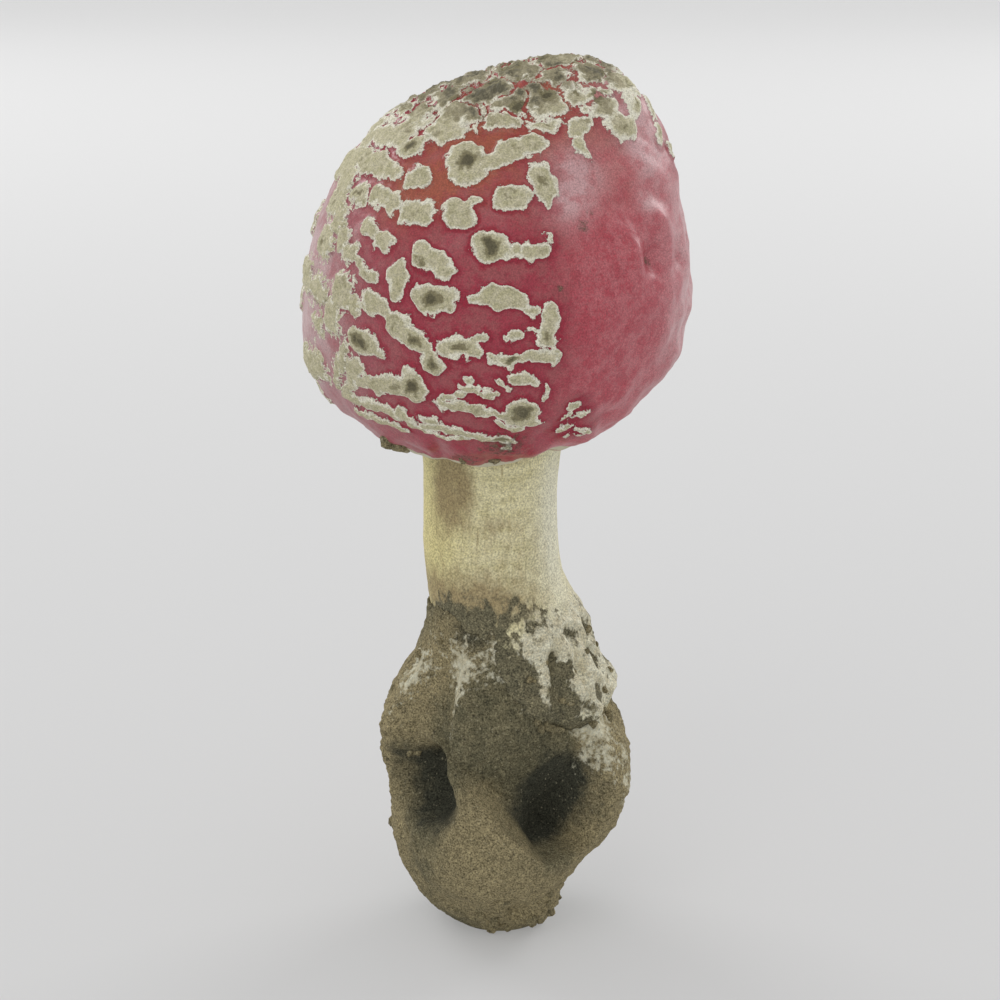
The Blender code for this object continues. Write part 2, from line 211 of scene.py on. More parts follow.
@dataclass(frozen=True)
class Scoop:
    """A hollow with a crisp foot and sides, deepest on its right, and a floor that rises to its top.

    Attributes:
        azimuth: Where the middle of its foot lies round the body, in degrees.
        height: Height of its foot.
        width: Width of its foot.
        left: Lean of its left edge from upright, in degrees.
        right: Lean of its right edge from upright, in degrees.
        length: How far it reaches above its foot.
        depth: Its depth on the right, just above its foot.
        lip: Half the width of its edges.
        taper: Distances from its right edge over which it gets shallower.
        taper_share: By what share of its depth it gets shallower.
        floor_rise: Share of its length above which the floor rises.
    """

    azimuth: float
    height: float
    width: float
    left: float
    right: float
    length: float
    depth: float
    lip: float
    taper: Span = (6.0, 18.0)
    taper_share: float = 0.35
    floor_rise: float = 0.15

    def at(self, turn: np.ndarray, height: np.ndarray, reach: float) -> np.ndarray:
        """Work out how far the hollow pushes the surface in.

        Args:
            turn: Azimuths in degrees.
            height: Heights in millimetres.
            reach: Radius at which its width is measured.

        Returns:
            The push at each place, below 0 inside the hollow.
        """
        wide = np.radians(turn_from(turn, self.azimuth)) * reach
        high = height - self.height
        left, right = math.radians(self.left), math.radians(self.right)
        from_left = (wide + self.width / 2) * math.cos(left) + high * math.sin(left)
        from_right = (self.width / 2 - wide) * math.cos(right) + high * math.sin(right)
        inside = 1.0
        for depth in (from_left, from_right, high):
            inside = inside * smooth_step(depth, -self.lip, self.lip)
        shallow = 1 - self.taper_share * smooth_step(from_right, *self.taper)
        floor = 1 - smooth_step(high, self.floor_rise * self.length, self.length)
        return -self.depth * inside * shallow * floor


def through(points: np.ndarray, count: int) -> np.ndarray:
    """Draw a smooth line through a list of points.

    Args:
        points: The points, one in each row.
        count: How many points the line gets.

    Returns:
        The points of the line, evenly spread.
    """
    place = np.linspace(0, len(points) - 1, count)
    index = np.minimum(place.astype(int), len(points) - 2)
    t = (place - index)[:, None]
    before, start = points[np.maximum(index - 1, 0)], points[index]
    end, after = points[index + 1], points[np.minimum(index + 2, len(points) - 1)]
    slope_in, slope_out = (end - before) / 2, (after - start) / 2
    bow = start * (2 * t**3 - 3 * t**2 + 1) + end * (3 * t**2 - 2 * t**3)
    return bow + slope_in * (t**3 - 2 * t**2 + t) + slope_out * (t**3 - t**2)


def positions(mesh: bpy.types.Mesh) -> np.ndarray:
    """Read where the vertices of a mesh are.

    Args:
        mesh: The mesh.

    Returns:
        Their places in millimetres, one in each row.
    """
    flat = np.empty(len(mesh.vertices) * 3)
    mesh.vertices.foreach_get("co", flat)
    return flat.reshape(-1, 3) / MM


def set_positions(mesh: bpy.types.Mesh, points: np.ndarray) -> None:
    """Move the mesh's vertices to points in millimetres."""
    mesh.vertices.foreach_set("co", (points * MM).ravel())
    mesh.update()


def store(mesh: bpy.types.Mesh, name: str, values: np.ndarray) -> None:
    """Keep one number for each vertex as an attribute that the finish reads."""
    mesh.attributes.new(name, "FLOAT", "POINT").data.foreach_set("value", values.astype(np.float32))


def mesh_of(name: str, bm: bmesh.types.BMesh) -> bpy.types.Mesh:
    """Turn a bmesh into a smooth mesh and free it.

    Args:
        name: The mesh's name.
        bm: The bmesh.

    Returns:
        The new mesh.
    """
    mesh = bpy.data.meshes.new(name)
    bm.to_mesh(mesh)
    bm.free()
    mesh.shade_smooth()
    return mesh


def show(name: str, mesh: bpy.types.Mesh, replaces: str | None = None) -> bpy.types.Object:
    """Link a mesh as a piece of the mushroom.

    Args:
        name: The piece's name.
        mesh: Its mesh, already in place.
        replaces: The CAD node that it stands for.

    Returns:
        The new object.
    """
    piece = bpy.data.objects.new(name, mesh)
    bpy.context.scene.collection.objects.link(piece)
    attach(piece, BODY)
    if replaces:
        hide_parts(replaces)
    log.info("%s: %d faces", name, len(mesh.polygons))
    return piece


# ---------------------------------------------------------------------------
# Material nodes
# ---------------------------------------------------------------------------


class Board:
    """A node tree with short ways to add the nodes that the finishes use."""

    def __init__(self, tree: bpy.types.NodeTree) -> None:
        """Work on a node tree."""
        self.tree = tree

    def plug(self, value: Number | Paint, socket: Socket) -> None:
        """Link a socket to an input, or set the input's own value.

        Args:
            value: A socket, a number or a colour.
            socket: The input.
        """
        if isinstance(value, Socket):
            self.tree.links.new(value, socket)
        elif isinstance(value, tuple) and len(value) == 3 and socket.type == "RGBA":
            socket.default_value = (*value, 1.0)
        else:
            socket.default_value = value

    def add(self, kind: str, inputs: dict, **settings) -> bpy.types.Node:
        """Add a node.

        Args:
            kind: The node's type.
            inputs: A value or a socket for each input, by its name or place.
            settings: Values for the node's own properties.

        Returns:
            The node.
        """
        node = self.tree.nodes.new(kind)
        for name, value in settings.items():
            setattr(node, name, value)
        for name, value in inputs.items():
            self.plug(value, node.inputs[name])
        return node

    def sum(self, *terms: Number) -> Number:
        """Add numbers up.

        Args:
            terms: Numbers or sockets.

        Returns:
            Their total.
        """
        total = terms[0]
        for term in terms[1:]:
            total = self.maths("ADD", total, term)
        return total

    def maths(self, operation: str, first: Number, second: Number = 0.0) -> Socket:
        """Combine two numbers."""
        return self.add("ShaderNodeMath", {0: first, 1: second}, operation=operation).outputs[0]

    def times(self, first: Number, second: Number) -> Socket:
        """Multiply two numbers."""
        return self.maths("MULTIPLY", first, second)

    def flip(self, value: Number) -> Socket:
        """One less a mask."""
        return self.maths("SUBTRACT", 1.0, value)

    def window(self, value: Number, low: float, high: float, top: float = 1.0) -> Socket:
        """Rise smoothly as a value rises.

        Args:
            value: The value.
            low: Where the rise starts from 0.
            high: Where it ends.
            top: What it ends at.

        Returns:
            The risen value.
        """
        inputs = {"Value": value, "From Min": low, "From Max": high, "To Max": top}
        node = self.add("ShaderNodeMapRange", inputs, interpolation_type="SMOOTHSTEP")
        return node.outputs["Result"]

    def blend(self, share: Number, first: Paint, second: Paint) -> Socket:
        """Colour that goes from first to second as share goes from 0 to 1."""
        node = self.add("ShaderNodeMix", {0: share, 6: first, 7: second}, data_type="RGBA")
        return node.outputs[2]

    def between(self, share: Number, first: Number, second: Number) -> Socket:
        """Number that goes from first to second as share goes from 0 to 1."""
        node = self.add("ShaderNodeMix", {0: share, 2: first, 3: second}, data_type="FLOAT")
        return node.outputs[0]

    def read(self, name: str) -> Socket:
        """A number stored on the mesh."""
        return self.add("ShaderNodeAttribute", {}, attribute_name=name).outputs["Fac"]

    def place(self) -> Socket:
        """Read where the point that is being shaded lies.

        Returns:
            Its coordinates in millimetres.
        """
        where = self.add("ShaderNodeTexCoord", {}).outputs["Object"]
        scale = {0: where, 3: 1 / MM}
        return self.add("ShaderNodeVectorMath", scale, operation="SCALE").outputs[0]

    def stretched(self, where: Socket, scale: Place) -> Socket:
        """Coordinates squeezed along each axis."""
        return self.add("ShaderNodeMapping", {"Vector": where, "Scale": scale}).outputs[0]

    def clouds(self, where: Socket, cell: Number, detail: float = 2.0) -> Socket:
        """Make cloudy noise.

        Args:
            where: Coordinates in millimetres.
            cell: Size of a cloud in millimetres.
            detail: How many finer layers it has.

        Returns:
            The noise, 0 to 1.
        """
        scale = 1 / cell if isinstance(cell, float) else self.maths("DIVIDE", 1.0, cell)
        inputs = {"Vector": where, "Scale": scale, "Detail": detail, "Roughness": 0.6}
        return self.add("ShaderNodeTexNoise", inputs).outputs["Fac"]

    def bump(self, height: Number, strength: float, depth: float) -> Socket:
        """Normal of a relief whose depth is in millimetres."""
        inputs = {"Height": height, "Strength": strength, "Distance": depth * MM}
        return self.add("ShaderNodeBump", inputs).outputs[0]

    def use(self, group: bpy.types.NodeTree, output: str, **inputs: Number | Paint) -> Socket:
        """Place a shared group.

        Args:
            group: The group.
            output: Name of the output that is wanted.
            inputs: Value or socket for each input, by its name.

        Returns:
            The wanted output.
        """
        node = self.add("ShaderNodeGroup", {}, node_tree=group)
        for name, value in inputs.items():
            self.plug(value, node.inputs[name.replace("_", " ").capitalize()])
        return node.outputs[output]


def new_group(name: str, inputs: dict[str, str], outputs: dict[str, str]) -> tuple[Board, dict, dict]:
    """Start a node group.

    Args:
        name: The group's name.
        inputs: Kind of each input by name.
        outputs: Kind of each output by name.

    Returns:
        The group's board, its input sockets and its output sockets, by name.
    """
    tree = bpy.data.node_groups.new(name, "ShaderNodeTree")
    for way, sockets in (("INPUT", inputs), ("OUTPUT", outputs)):
        for label, kind in sockets.items():
            tree.interface.new_socket(label, in_out=way, socket_type=f"NodeSocket{kind}")
    board = Board(tree)
    given = board.add("NodeGroupInput", {}).outputs
    wanted = board.add("NodeGroupOutput", {}).inputs
    return board, {name: given[name] for name in inputs}, {name: wanted[name] for name in outputs}


@dataclass(frozen=True)
class Earth:
    """Colours of dry soil and of the pale mould that grows over it."""

    earth: Colour = (0.185, 0.165, 0.098)
    cloud: Colour = (0.118, 0.109, 0.066)
    tan: Colour = (0.300, 0.252, 0.142)
    # dark is laid as painted shade in the clod's hollows; it also colours small pits, and darkens some dirt
    # on the cap.
    dark: Colour = (0.062, 0.062, 0.044)
    grit: Colour = (0.42, 0.38, 0.26)
    mould: Colour = (0.74, 0.72, 0.56)
    mould_shade: Colour = (0.52, 0.46, 0.30)


class Effects:
    """Node groups that several finishes share."""

    def __init__(self, earth: Earth) -> None:
        """Build each group once.

        Args:
            earth: Colours of the soil.
        """
        self.grain = self.build_grain()
        self.mottle = self.build_mottle()
        self.specks = self.build_specks()
        self.earth = self.build_earth(earth)
        self.mould = self.build_mould(earth)

    @staticmethod
    def build_grain() -> bpy.types.NodeTree:
        """Build the group that lightens and darkens a colour in fine grains.

        Returns:
            The group's tree.
        """
        board, given, wanted = new_group(
            "grain",
            {"Place": "Vector", "Base": "Color", "Cell": "Float", "Amount": "Float"},
            {"Colour": "Color"},
        )
        grains = board.clouds(given["Place"], given["Cell"], 1.0)
        swing = board.times(board.maths("SUBTRACT", grains, 0.5), given["Amount"])
        scaled = {0: given["Base"], 3: board.sum(1.0, swing)}
        node = board.add("ShaderNodeVectorMath", scaled, operation="SCALE")
        board.plug(node.outputs[0], wanted["Colour"])
        return board.tree

    @staticmethod
    def build_mottle() -> bpy.types.NodeTree:
        """Build the group that clouds one colour with another at two scales.

        Returns:
            The group's tree.
        """
        board, given, wanted = new_group(
            "mottle",
            {"Place": "Vector", "Base": "Color", "Cloud": "Color", "Cell": "Float", "Amount": "Float"},
            {"Colour": "Color"},
        )
        coarse = board.clouds(given["Place"], given["Cell"], 3.0)
        fine = board.clouds(given["Place"], board.times(given["Cell"], 0.2), 2.0)
        mixed = board.sum(board.times(coarse, 0.65), board.times(fine, 0.35))
        mask = board.times(board.window(mixed, 0.40, 0.60), given["Amount"])
        board.plug(board.blend(mask, given["Base"], given["Cloud"]), wanted["Colour"])
        return board.tree

    @staticmethod
    def build_specks() -> bpy.types.NodeTree:
        """Build the group of small specks; Share is the part of the cells that hold one.

        Returns:
            The group's tree.
        """
        board, given, wanted = new_group(
            "specks",
            {"Place": "Vector", "Cell": "Float", "Share": "Float"},
            {"Mask": "Float"},
        )
        scale = board.maths("DIVIDE", 1.0, given["Cell"])
        cells = board.add("ShaderNodeTexVoronoi", {"Vector": given["Place"], "Scale": scale}).outputs
        chance = board.add("ShaderNodeSeparateColor", {0: cells["Color"]}).outputs[0]
        held = board.maths("LESS_THAN", chance, given["Share"])
        ragged = board.sum(cells["Distance"], board.clouds(given["Place"], 0.25, 2.0), -0.5)
        board.plug(board.times(held, board.window(board.flip(ragged), 0.62, 0.85)), wanted["Mask"])
        return board.tree

    def build_earth(self, earth: Earth) -> bpy.types.NodeTree:
        """Build the group that gives soil its colour and its crumbly relief.

        Args:
            earth: Colours of the soil.

        Returns:
            The group's tree.
        """
        board, given, wanted = new_group(
            "earth",
            {"Place": "Vector", "Tan": "Float", "Dark": "Float"},
            {"Colour": "Color", "Height": "Float"},
        )
        where = given["Place"]
        base = board.use(
            self.mottle, "Colour", place=where, base=earth.earth, cloud=earth.cloud, cell=2.6, amount=0.8
        )
        rough, broad = board.clouds(where, 1.3, 5.0), board.clouds(where, 3.2, 6.0)
        base = board.blend(board.window(board.sum(given["Tan"], broad), 0.6, 1.3), base, earth.tan)
        # The Dark mask lays painted shade on the clod's hollows.
        base = board.blend(board.window(board.sum(given["Dark"], broad), 0.65, 1.3), base, earth.dark)
        grit = board.use(self.specks, "Mask", place=where, cell=0.5, share=0.16)
        base = board.blend(board.times(grit, 0.40), base, earth.grit)
        pits = board.use(self.specks, "Mask", place=where, cell=0.75, share=0.12)
        base = board.blend(board.times(pits, 0.45), base, earth.dark)
        base = board.use(self.grain, "Colour", place=where, base=base, cell=0.9, amount=0.9)
        base = board.use(self.grain, "Colour", place=where, base=base, cell=0.28, amount=2.7)
        board.plug(base, wanted["Colour"])
        fine = board.clouds(where, 0.5, 5.0)
        board.plug(board.sum(rough, fine, board.times(pits, -0.5)), wanted["Height"])
        return board.tree

    def build_mould(self, earth: Earth) -> bpy.types.NodeTree:
        """Build the group that gives the woolly mould over the soil its colour.

        Args:
            earth: Colours of the soil.

        Returns:
            The group's tree.
        """
        board, given, wanted = new_group("mould", {"Place": "Vector"}, {"Colour": "Color"})
        where = given["Place"]
        base = board.use(
            self.mottle,
            "Colour",
            place=where,
            base=earth.mould,
            cloud=earth.mould_shade,
            cell=1.5,
            amount=0.7,
        )
        pits = board.use(self.specks, "Mask", place=where, cell=0.9, share=0.25)
        base = board.blend(board.times(pits, 0.7), base, earth.cloud)
        base = board.use(self.grain, "Colour", place=where, base=base, cell=0.3, amount=1.1)
        board.plug(base, wanted["Colour"])
        return board.tree


def new_finish(name: str) -> tuple[bpy.types.Material, Board, bpy.types.Node]:
    """Start a material.

    Args:
        name: The material's name.

    Returns:
        The material, its board and its Principled shader.
    """
    made = bpy.data.materials.new(name)
    made.use_nodes = True
    return made, Board(made.node_tree), made.node_tree.nodes["Principled BSDF"]


# ---------------------------------------------------------------------------
# Cap
# ---------------------------------------------------------------------------


@dataclass(frozen=True)
class Lobe:
    """One lobe of a wart: a flat oval patch of torn veil on the skin.

    Attributes:
        azimuth: Azimuth of its middle.
        elevation: Elevation of its middle, seen from the cap's centre.
        width: Width along the skin.
        height: Height along the skin.
        turn: Turn of its width from level, in degrees.
        stain: How dark its middle is, from 0 to 1.
    """

    azimuth: float
    elevation: float
    width: float
    height: float
    turn: float
    stain: float

    SQUARENESS = 2.5

    def at(self, outward: np.ndarray, radius: float) -> tuple[np.ndarray, np.ndarray]:
        """Measure directions against the lobe.

        Args:
            outward: Unit directions from the cap's centre.
            radius: Radius at which the lobe is measured.

        Returns:
            Depth inside the lobe in millimetres, and place across it, 1 at its edge.
        """
        middle = direction(self.azimuth, self.elevation)
        east = np.cross(UP, middle)
        east /= np.linalg.norm(east)
        along, rise = outward @ east * radius, outward @ np.cross(middle, east) * radius
        tilt, p = math.radians(self.turn), self.SQUARENESS
        wide = np.abs(along * math.cos(tilt) + rise * math.sin(tilt)) / (self.width / 2)
        high = np.abs(rise * math.cos(tilt) - along * math.sin(tilt)) / (self.height / 2)
        place = np.maximum((wide**p + high**p) ** (1 / p), 1e-6)
        slope = np.hypot(wide ** (p - 1) * 2 / self.width, high ** (p - 1) * 2 / self.height)
        return (1 - place) * place ** (p - 1) / np.maximum(slope, 1e-6), place


# Lobes on the front, from the crown down: azimuth, elevation, width, height, turn and stain.
FRONT_LOBES = (
    (-118, 59, 7.0, 7.0, 5, 0.15),
    (-102, 47, 6.5, 7.5, 25, 1),
    (-80, 51, 7.5, 4.5, 5, 0.3),
    (-89, 48, 6.0, 3.5, 20, 0),
    (-130, 51, 5.5, 4.5, 10, 0.9),
    (-148, 54, 10.0, 5.0, 5, 0.2),
    (-121, 41, 5.0, 5.0, 30, 0.25),
    (-133, 42, 3.5, 3.0, 10, 0),
    (-147, 44, 11.5, 5.0, -5, 0),
    (-144, 33, 4.5, 4.0, -5, 0.5),
    (-133, 34, 6.0, 3.5, -15, 0.1),
    (-126, 33, 3.5, 4.0, 5, 0.1),
    (-141, 59, 6.5, 4.0, 30, 0.2),
    (-98, 62, 4.5, 4.0, 10, 0.2),
    (-141, 67, 4.0, 4.5, 60, 0.8),
    (-122, 71, 5.5, 4.0, 30, 0.7),
    (-157, 30, 7.0, 5.5, 0, 0.2),
    (-157, 36, 6.0, 4.5, 0, 0),
    (-116, 31, 6.5, 4.5, 5, 0.1),
    (-102, 31, 6.0, 5.0, 0, 0.1),
    (-96, 34, 3.0, 2.5, 10, 0),
    (-85, 36, 5.5, 5.0, 0, 0.3),
    (-73, 40, 5.0, 6.5, -5, 0.5),
    (-72, 35, 2.0, 3.0, -5, 0),
    (-155, 18, 5.5, 5.5, 10, 0.4),
    (-149, 25, 4.0, 4.0, 10, 0.1),
    (-144, 20, 3.5, 4.0, 15, 0),
    (-133, 25, 5.0, 3.5, -20, 0.1),
    (-126, 22, 4.0, 4.0, -30, 0.2),
    (-138, 17, 4.5, 3.0, -5, 0.1),
    (-133, 14, 4.0, 2.0, -15, 0.2),
    (-129, 12, 4.5, 2.5, 5, 0.3),
    (-109, 19, 7.0, 3.5, -25, 0.1),
    (-112, 17, 3.5, 3.0, 5, 0.6),
    (-105, 15, 3.5, 3.0, -35, 0),
    (-119, 12, 3.5, 6.5, 0, 0.15),
    (-108, 7, 8.0, 5.0, 0, 0.9),
    (-102, 9, 3.0, 2.5, 10, 0),
    (-155, 4, 6.5, 4.5, 10, 0.1),
    (-140, 6, 5.0, 6.0, -10, 0.2),
    (-135, 3, 3.5, 4.0, -15, 0.1),
    (-146, -2, 5.0, 6.0, -10, 0.3),
    (-156, -7, 3.5, 4.0, -5, 0.1),
    (-126, 4, 6.0, 4.0, -20, 0.1),
    (-119, -1, 5.5, 4.0, -35, 0.2),
    (-113, -5, 6.0, 4.0, -30, 0.6),
    (-108, -11, 5.0, 4.0, -35, 0.8),
    (-132, -8, 7.0, 4.5, 0, 0.95),
    (-126, -10, 3.5, 2.5, -25, 0),
    (-92, 22, 6.5, 5.0, 0, 1),
    (-79, 21, 5.0, 3.5, 0, 0.25),
    (-85, 21, 3.0, 3.5, 0, 0),
    (-74, 24, 1.5, 2.0, -5, 0),
    (-89, 8, 8.5, 4.0, -5, 0.2),
    (-81, 5, 3.5, 2.0, 0, 0),
    (-96, 8, 3.0, 2.5, 0, 0),
    (-100, -6, 8.0, 4.0, -5, 0.75),
    (-95, -4, 4.0, 2.0, 20, 0),
    (-75, 2, 3.5, 5.5, 5, 0.1),
    (-76, -3, 4.0, 4.0, -5, 0.5),
    (-85, -2, 3.5, 2.0, 15, 0),
    (-80, 0, 3.0, 1.0, 10, 0),
    (-87, -3, 2.0, 1.5, 30, 0),
    (-86, -9, 6.0, 2.5, 0, 0.8),
    (-78, -9, 6.5, 3.0, -10, 0.1),
    (-91, -9, 2.5, 2.5, 0, 0),
    (-73, -8, 1.5, 3.5, 15, 0),
    (-98, -16, 2.5, 2.5, 0, 0.1),
    (-83, -15, 5.5, 2.5, -15, 0),
    (-88, -17, 3.0, 1.5, -35, 0),
    (-75, -20, 1.5, 4.0, 15, 0),
    (-90, -16, 2.0, 1.5, 45, 0),
    (-131, -21, 10.0, 3.5, 10, 0.2),
    (-139, -18, 3.0, 7.5, -45, 0.1),
    (-122, -20, 5.0, 4.5, 10, 0.4),
    (-116, -19, 5.5, 6.5, -5, 1),
    (-143, -14, 2.5, 7.0, -25, 0.1),
    (-104, -22, 6.5, 1.5, 15, 0),
    (-95, -20, 7.5, 1.5, -10, 0),
    (-108, -25, 2.0, 3.0, 5, 0),
    (-101, -25, 8.0, 2.5, -5, 0),
    (-92, -22, 2.5, 2.0, -35, 0.2),
    (-93, -27, 7.5, 2.0, -10, 0),
    (-82, -27, 6.0, 5.5, -10, 0.9),
    (-79, -31, 4.5, 3.0, 10, 0.1),
    (-86, -32, 7.0, 2.0, -30, 0),
    (-140, -29, 11.0, 2.5, 0, 0.1),
    (-130, -30, 6.0, 2.5, -30, 0.1),
    (-123, -31, 4.0, 3.0, -50, 0),
    (-141, -35, 8.0, 2.0, -15, 0),
    (-131, -37, 6.0, 2.0, -25, 0),
    (-113, -31, 4.0, 2.5, -10, 0),
    (-110, -35, 8.0, 3.0, -5, 0.2),
    (-99, -37, 8.0, 2.5, -10, 0.1),
    (-119, -36, 5.5, 2.0, -30, 0),
    (-107, -39, 6.5, 1.5, -10, 0),
    (-87, -39, 4.5, 2.0, -25, 0.6),
    (-87, -43, 2.5, 2.0, 0, 0.1),
    (-147, -26, 2.5, 7.5, -55, 0.1),
    (-149, -20, 2.0, 7.5, -35, 0.1),
    (-64, -27, 3.5, 2.0, 25, 0.2),
    (-66, -31, 3.5, 1.5, 35, 0.2),
    (-60, -31, 3.0, 1.5, 15, 0.1),
    (-65, -35, 4.0, 1.5, 30, 0.1),
    (-57, -36, 4.0, 1.5, -5, 0),
    (-60, -38, 4.0, 1.0, 10, 0),
    (-66, 57, 3.0, 3.0, -40, 0.3),
    (-76, 64, 6.0, 6.5, -10, 0.9),
    (-58, 65, 6.0, 6.0, -35, 0.95),
    (-43, 63, 3.0, 3.5, -30, 0.4),
    (-37, 59, 5.0, 5.0, -45, 0.7),
    (-52, 53, 4.0, 4.0, -15, 0.2),
    (-55, 48, 2.5, 3.5, -15, 0.1),
    (-34, 50, 5.5, 4.0, -15, 0.3),
    (-24, 52, 2.5, 3.5, -45, 0.3),
    (-97, 77, 8.0, 4.0, -5, 0.8),
    (-67, 75, 6.0, 3.0, -15, 0.5),
    (-60, 83, 6.0, 5.0, -50, 0.9),
    (-12, 78, 5.5, 5.5, -35, 0.9),
    (-18, 70, 5.5, 5.5, -90, 0.6),
    (-20, 64, 4.5, 4.5, -90, 0.5),
    (-15, 57, 3.5, 4.0, -90, 0.4),
    (-8, 50, 2.5, 6.0, -65, 0.3),
    (-15, 44, 2.5, 3.5, -40, 0.4),
    (-9, 39, 3.5, 3.5, -20, 0.3),
    (-36, 47, 1.5, 1.0, -15, 0.2),
    (-168, 62, 8.0, 5.0, 0, 0.5),
    (-178, 54, 7.0, 5.0, 10, 0.4),
    (-166, 50, 6.0, 4.5, 5, 0.3),
    (-179, 68, 8.0, 5.0, 0, 0.6),
    (-158, 64, 5.5, 4.0, 20, 0.5),
)


@dataclass
class Warts:
    """The warts all round the cap: a list on the front, and rings on the other sides."""

    rings: tuple[float, ...] = (52, 37, 22, 7, -8, -22, -35)
    start: float = 24.0
    end: float = 196.0
    pitch: float = 12.5
    size: Span = (9.4, 6.0)
    size_range: Span = (0.72, 1.2)
    stray: float = 4.0
    largest_turn: float = 25.0
    stains: tuple[float, ...] = (0.9, 0.1, 0.6, 0.0, 0.3)
    crown_ring: float = 71.0
    crown_azimuths: tuple[float, ...] = (10, 65, 125, 180)
    crown_size: Span = (7.0, 6.0)
    crown_stain: float = 0.7
    pole: float = 88.0
    pole_stain: float = 0.8
    seed: int = 11
    radius: float = 30.4
    sway: tuple[Span, ...] = ((3.2, 0.9), (1.3, 0.6))
    stain_edge: float = 0.62
    plate: float = 5.2
    crack: float = -0.06
    lobes: list[Lobe] = field(default_factory=list)

    def __post_init__(self) -> None:
        """List every lobe."""
        self.lobes = [Lobe(*row) for row in FRONT_LOBES]
        self.lobes += self.back_lobes(random.Random(self.seed))

    def back_lobes(self, chance: random.Random) -> list[Lobe]:
        """Scatter the warts of the crown, the sides and the back.

        Args:
            chance: Source of the seeded draws.

        Returns:
            Their lobes.
        """
        crown, stain = self.crown_size, self.crown_stain
        found = [Lobe(turn, self.crown_ring, *crown, turn, stain) for turn in self.crown_azimuths]
        found.append(Lobe(0, self.pole, *crown, 0, self.pole_stain))
        width, height = self.size
        for row, elevation in enumerate(self.rings):
            around = self.radius * math.cos(math.radians(elevation))
            count = round(math.radians(self.end - self.start) * around / self.pitch)
            for index in range(count):
                share = (index + 0.25 + 0.5 * (row % 2)) / count
                stray = chance.uniform(-self.stray, self.stray)
                azimuth = self.start + share * (self.end - self.start) + stray
                lift = chance.uniform(-self.stray, self.stray)
                size = chance.uniform(*self.size_range)
                turn = chance.uniform(-self.largest_turn, self.largest_turn)
                stain = self.stains[(3 * index + row) % len(self.stains)]
                found.append(
                    Lobe(azimuth, elevation + lift, width * size, height * size, turn, stain)
                )
        return found

    def plates(self, points: np.ndarray) -> np.ndarray:
        """Crack the crown's veil into plates.

        Args:
            points: Points in millimetres.

        Returns:
            Depth inside the nearest plate, in millimetres.
        """
        depths = np.empty(len(points))
        for index, place in enumerate(points / self.plate):
            _, (first, second, *_) = noise.voronoi(Vector(place))
            across = second - first
            from_edge = ((first + second) / 2 - Vector(place)).dot(across) / max(across.length, 1e-6)
            depths[index] = from_edge * self.plate - self.crack
        return depths

    def at(self, outward: np.ndarray, crown: np.ndarray) -> tuple[np.ndarray, np.ndarray]:
        """Depth inside the nearest lobe in millimetres, and darkness of its middle.

        Args:
            outward: Unit directions from the cap's centre.
            crown: Share of the crown's cracked veil, from 0 to 1, at each of them.

        Returns:
            The depth, negative on bare skin, and the stain.
        """
        moved = outward * self.radius
        for index, (cell, amount) in enumerate(self.sway):
            moved = moved + amount * Relief(cell, 3.0 + index).sway(outward * self.radius)
        swayed = unit(moved)
        depth = np.full(len(outward), -9.0)
        stain = np.zeros(len(outward))
        for lobe in self.lobes:
            near = np.flatnonzero(swayed @ direction(lobe.azimuth, lobe.elevation) > 0.9)
            inside, place = lobe.at(swayed[near], self.radius)
            depth[near] = np.maximum(depth[near], inside)
            dark = lobe.stain * np.clip((self.stain_edge - place) / self.stain_edge, 0, 1)
            stain[near] = np.maximum(stain[near], dark)
        cracked = np.flatnonzero(crown > 0.05)
        share = smooth_step(crown[cracked], 0.15, 0.5)
        depth[cracked] += share * (self.plates(moved[cracked]) - depth[cracked])
        return depth, stain


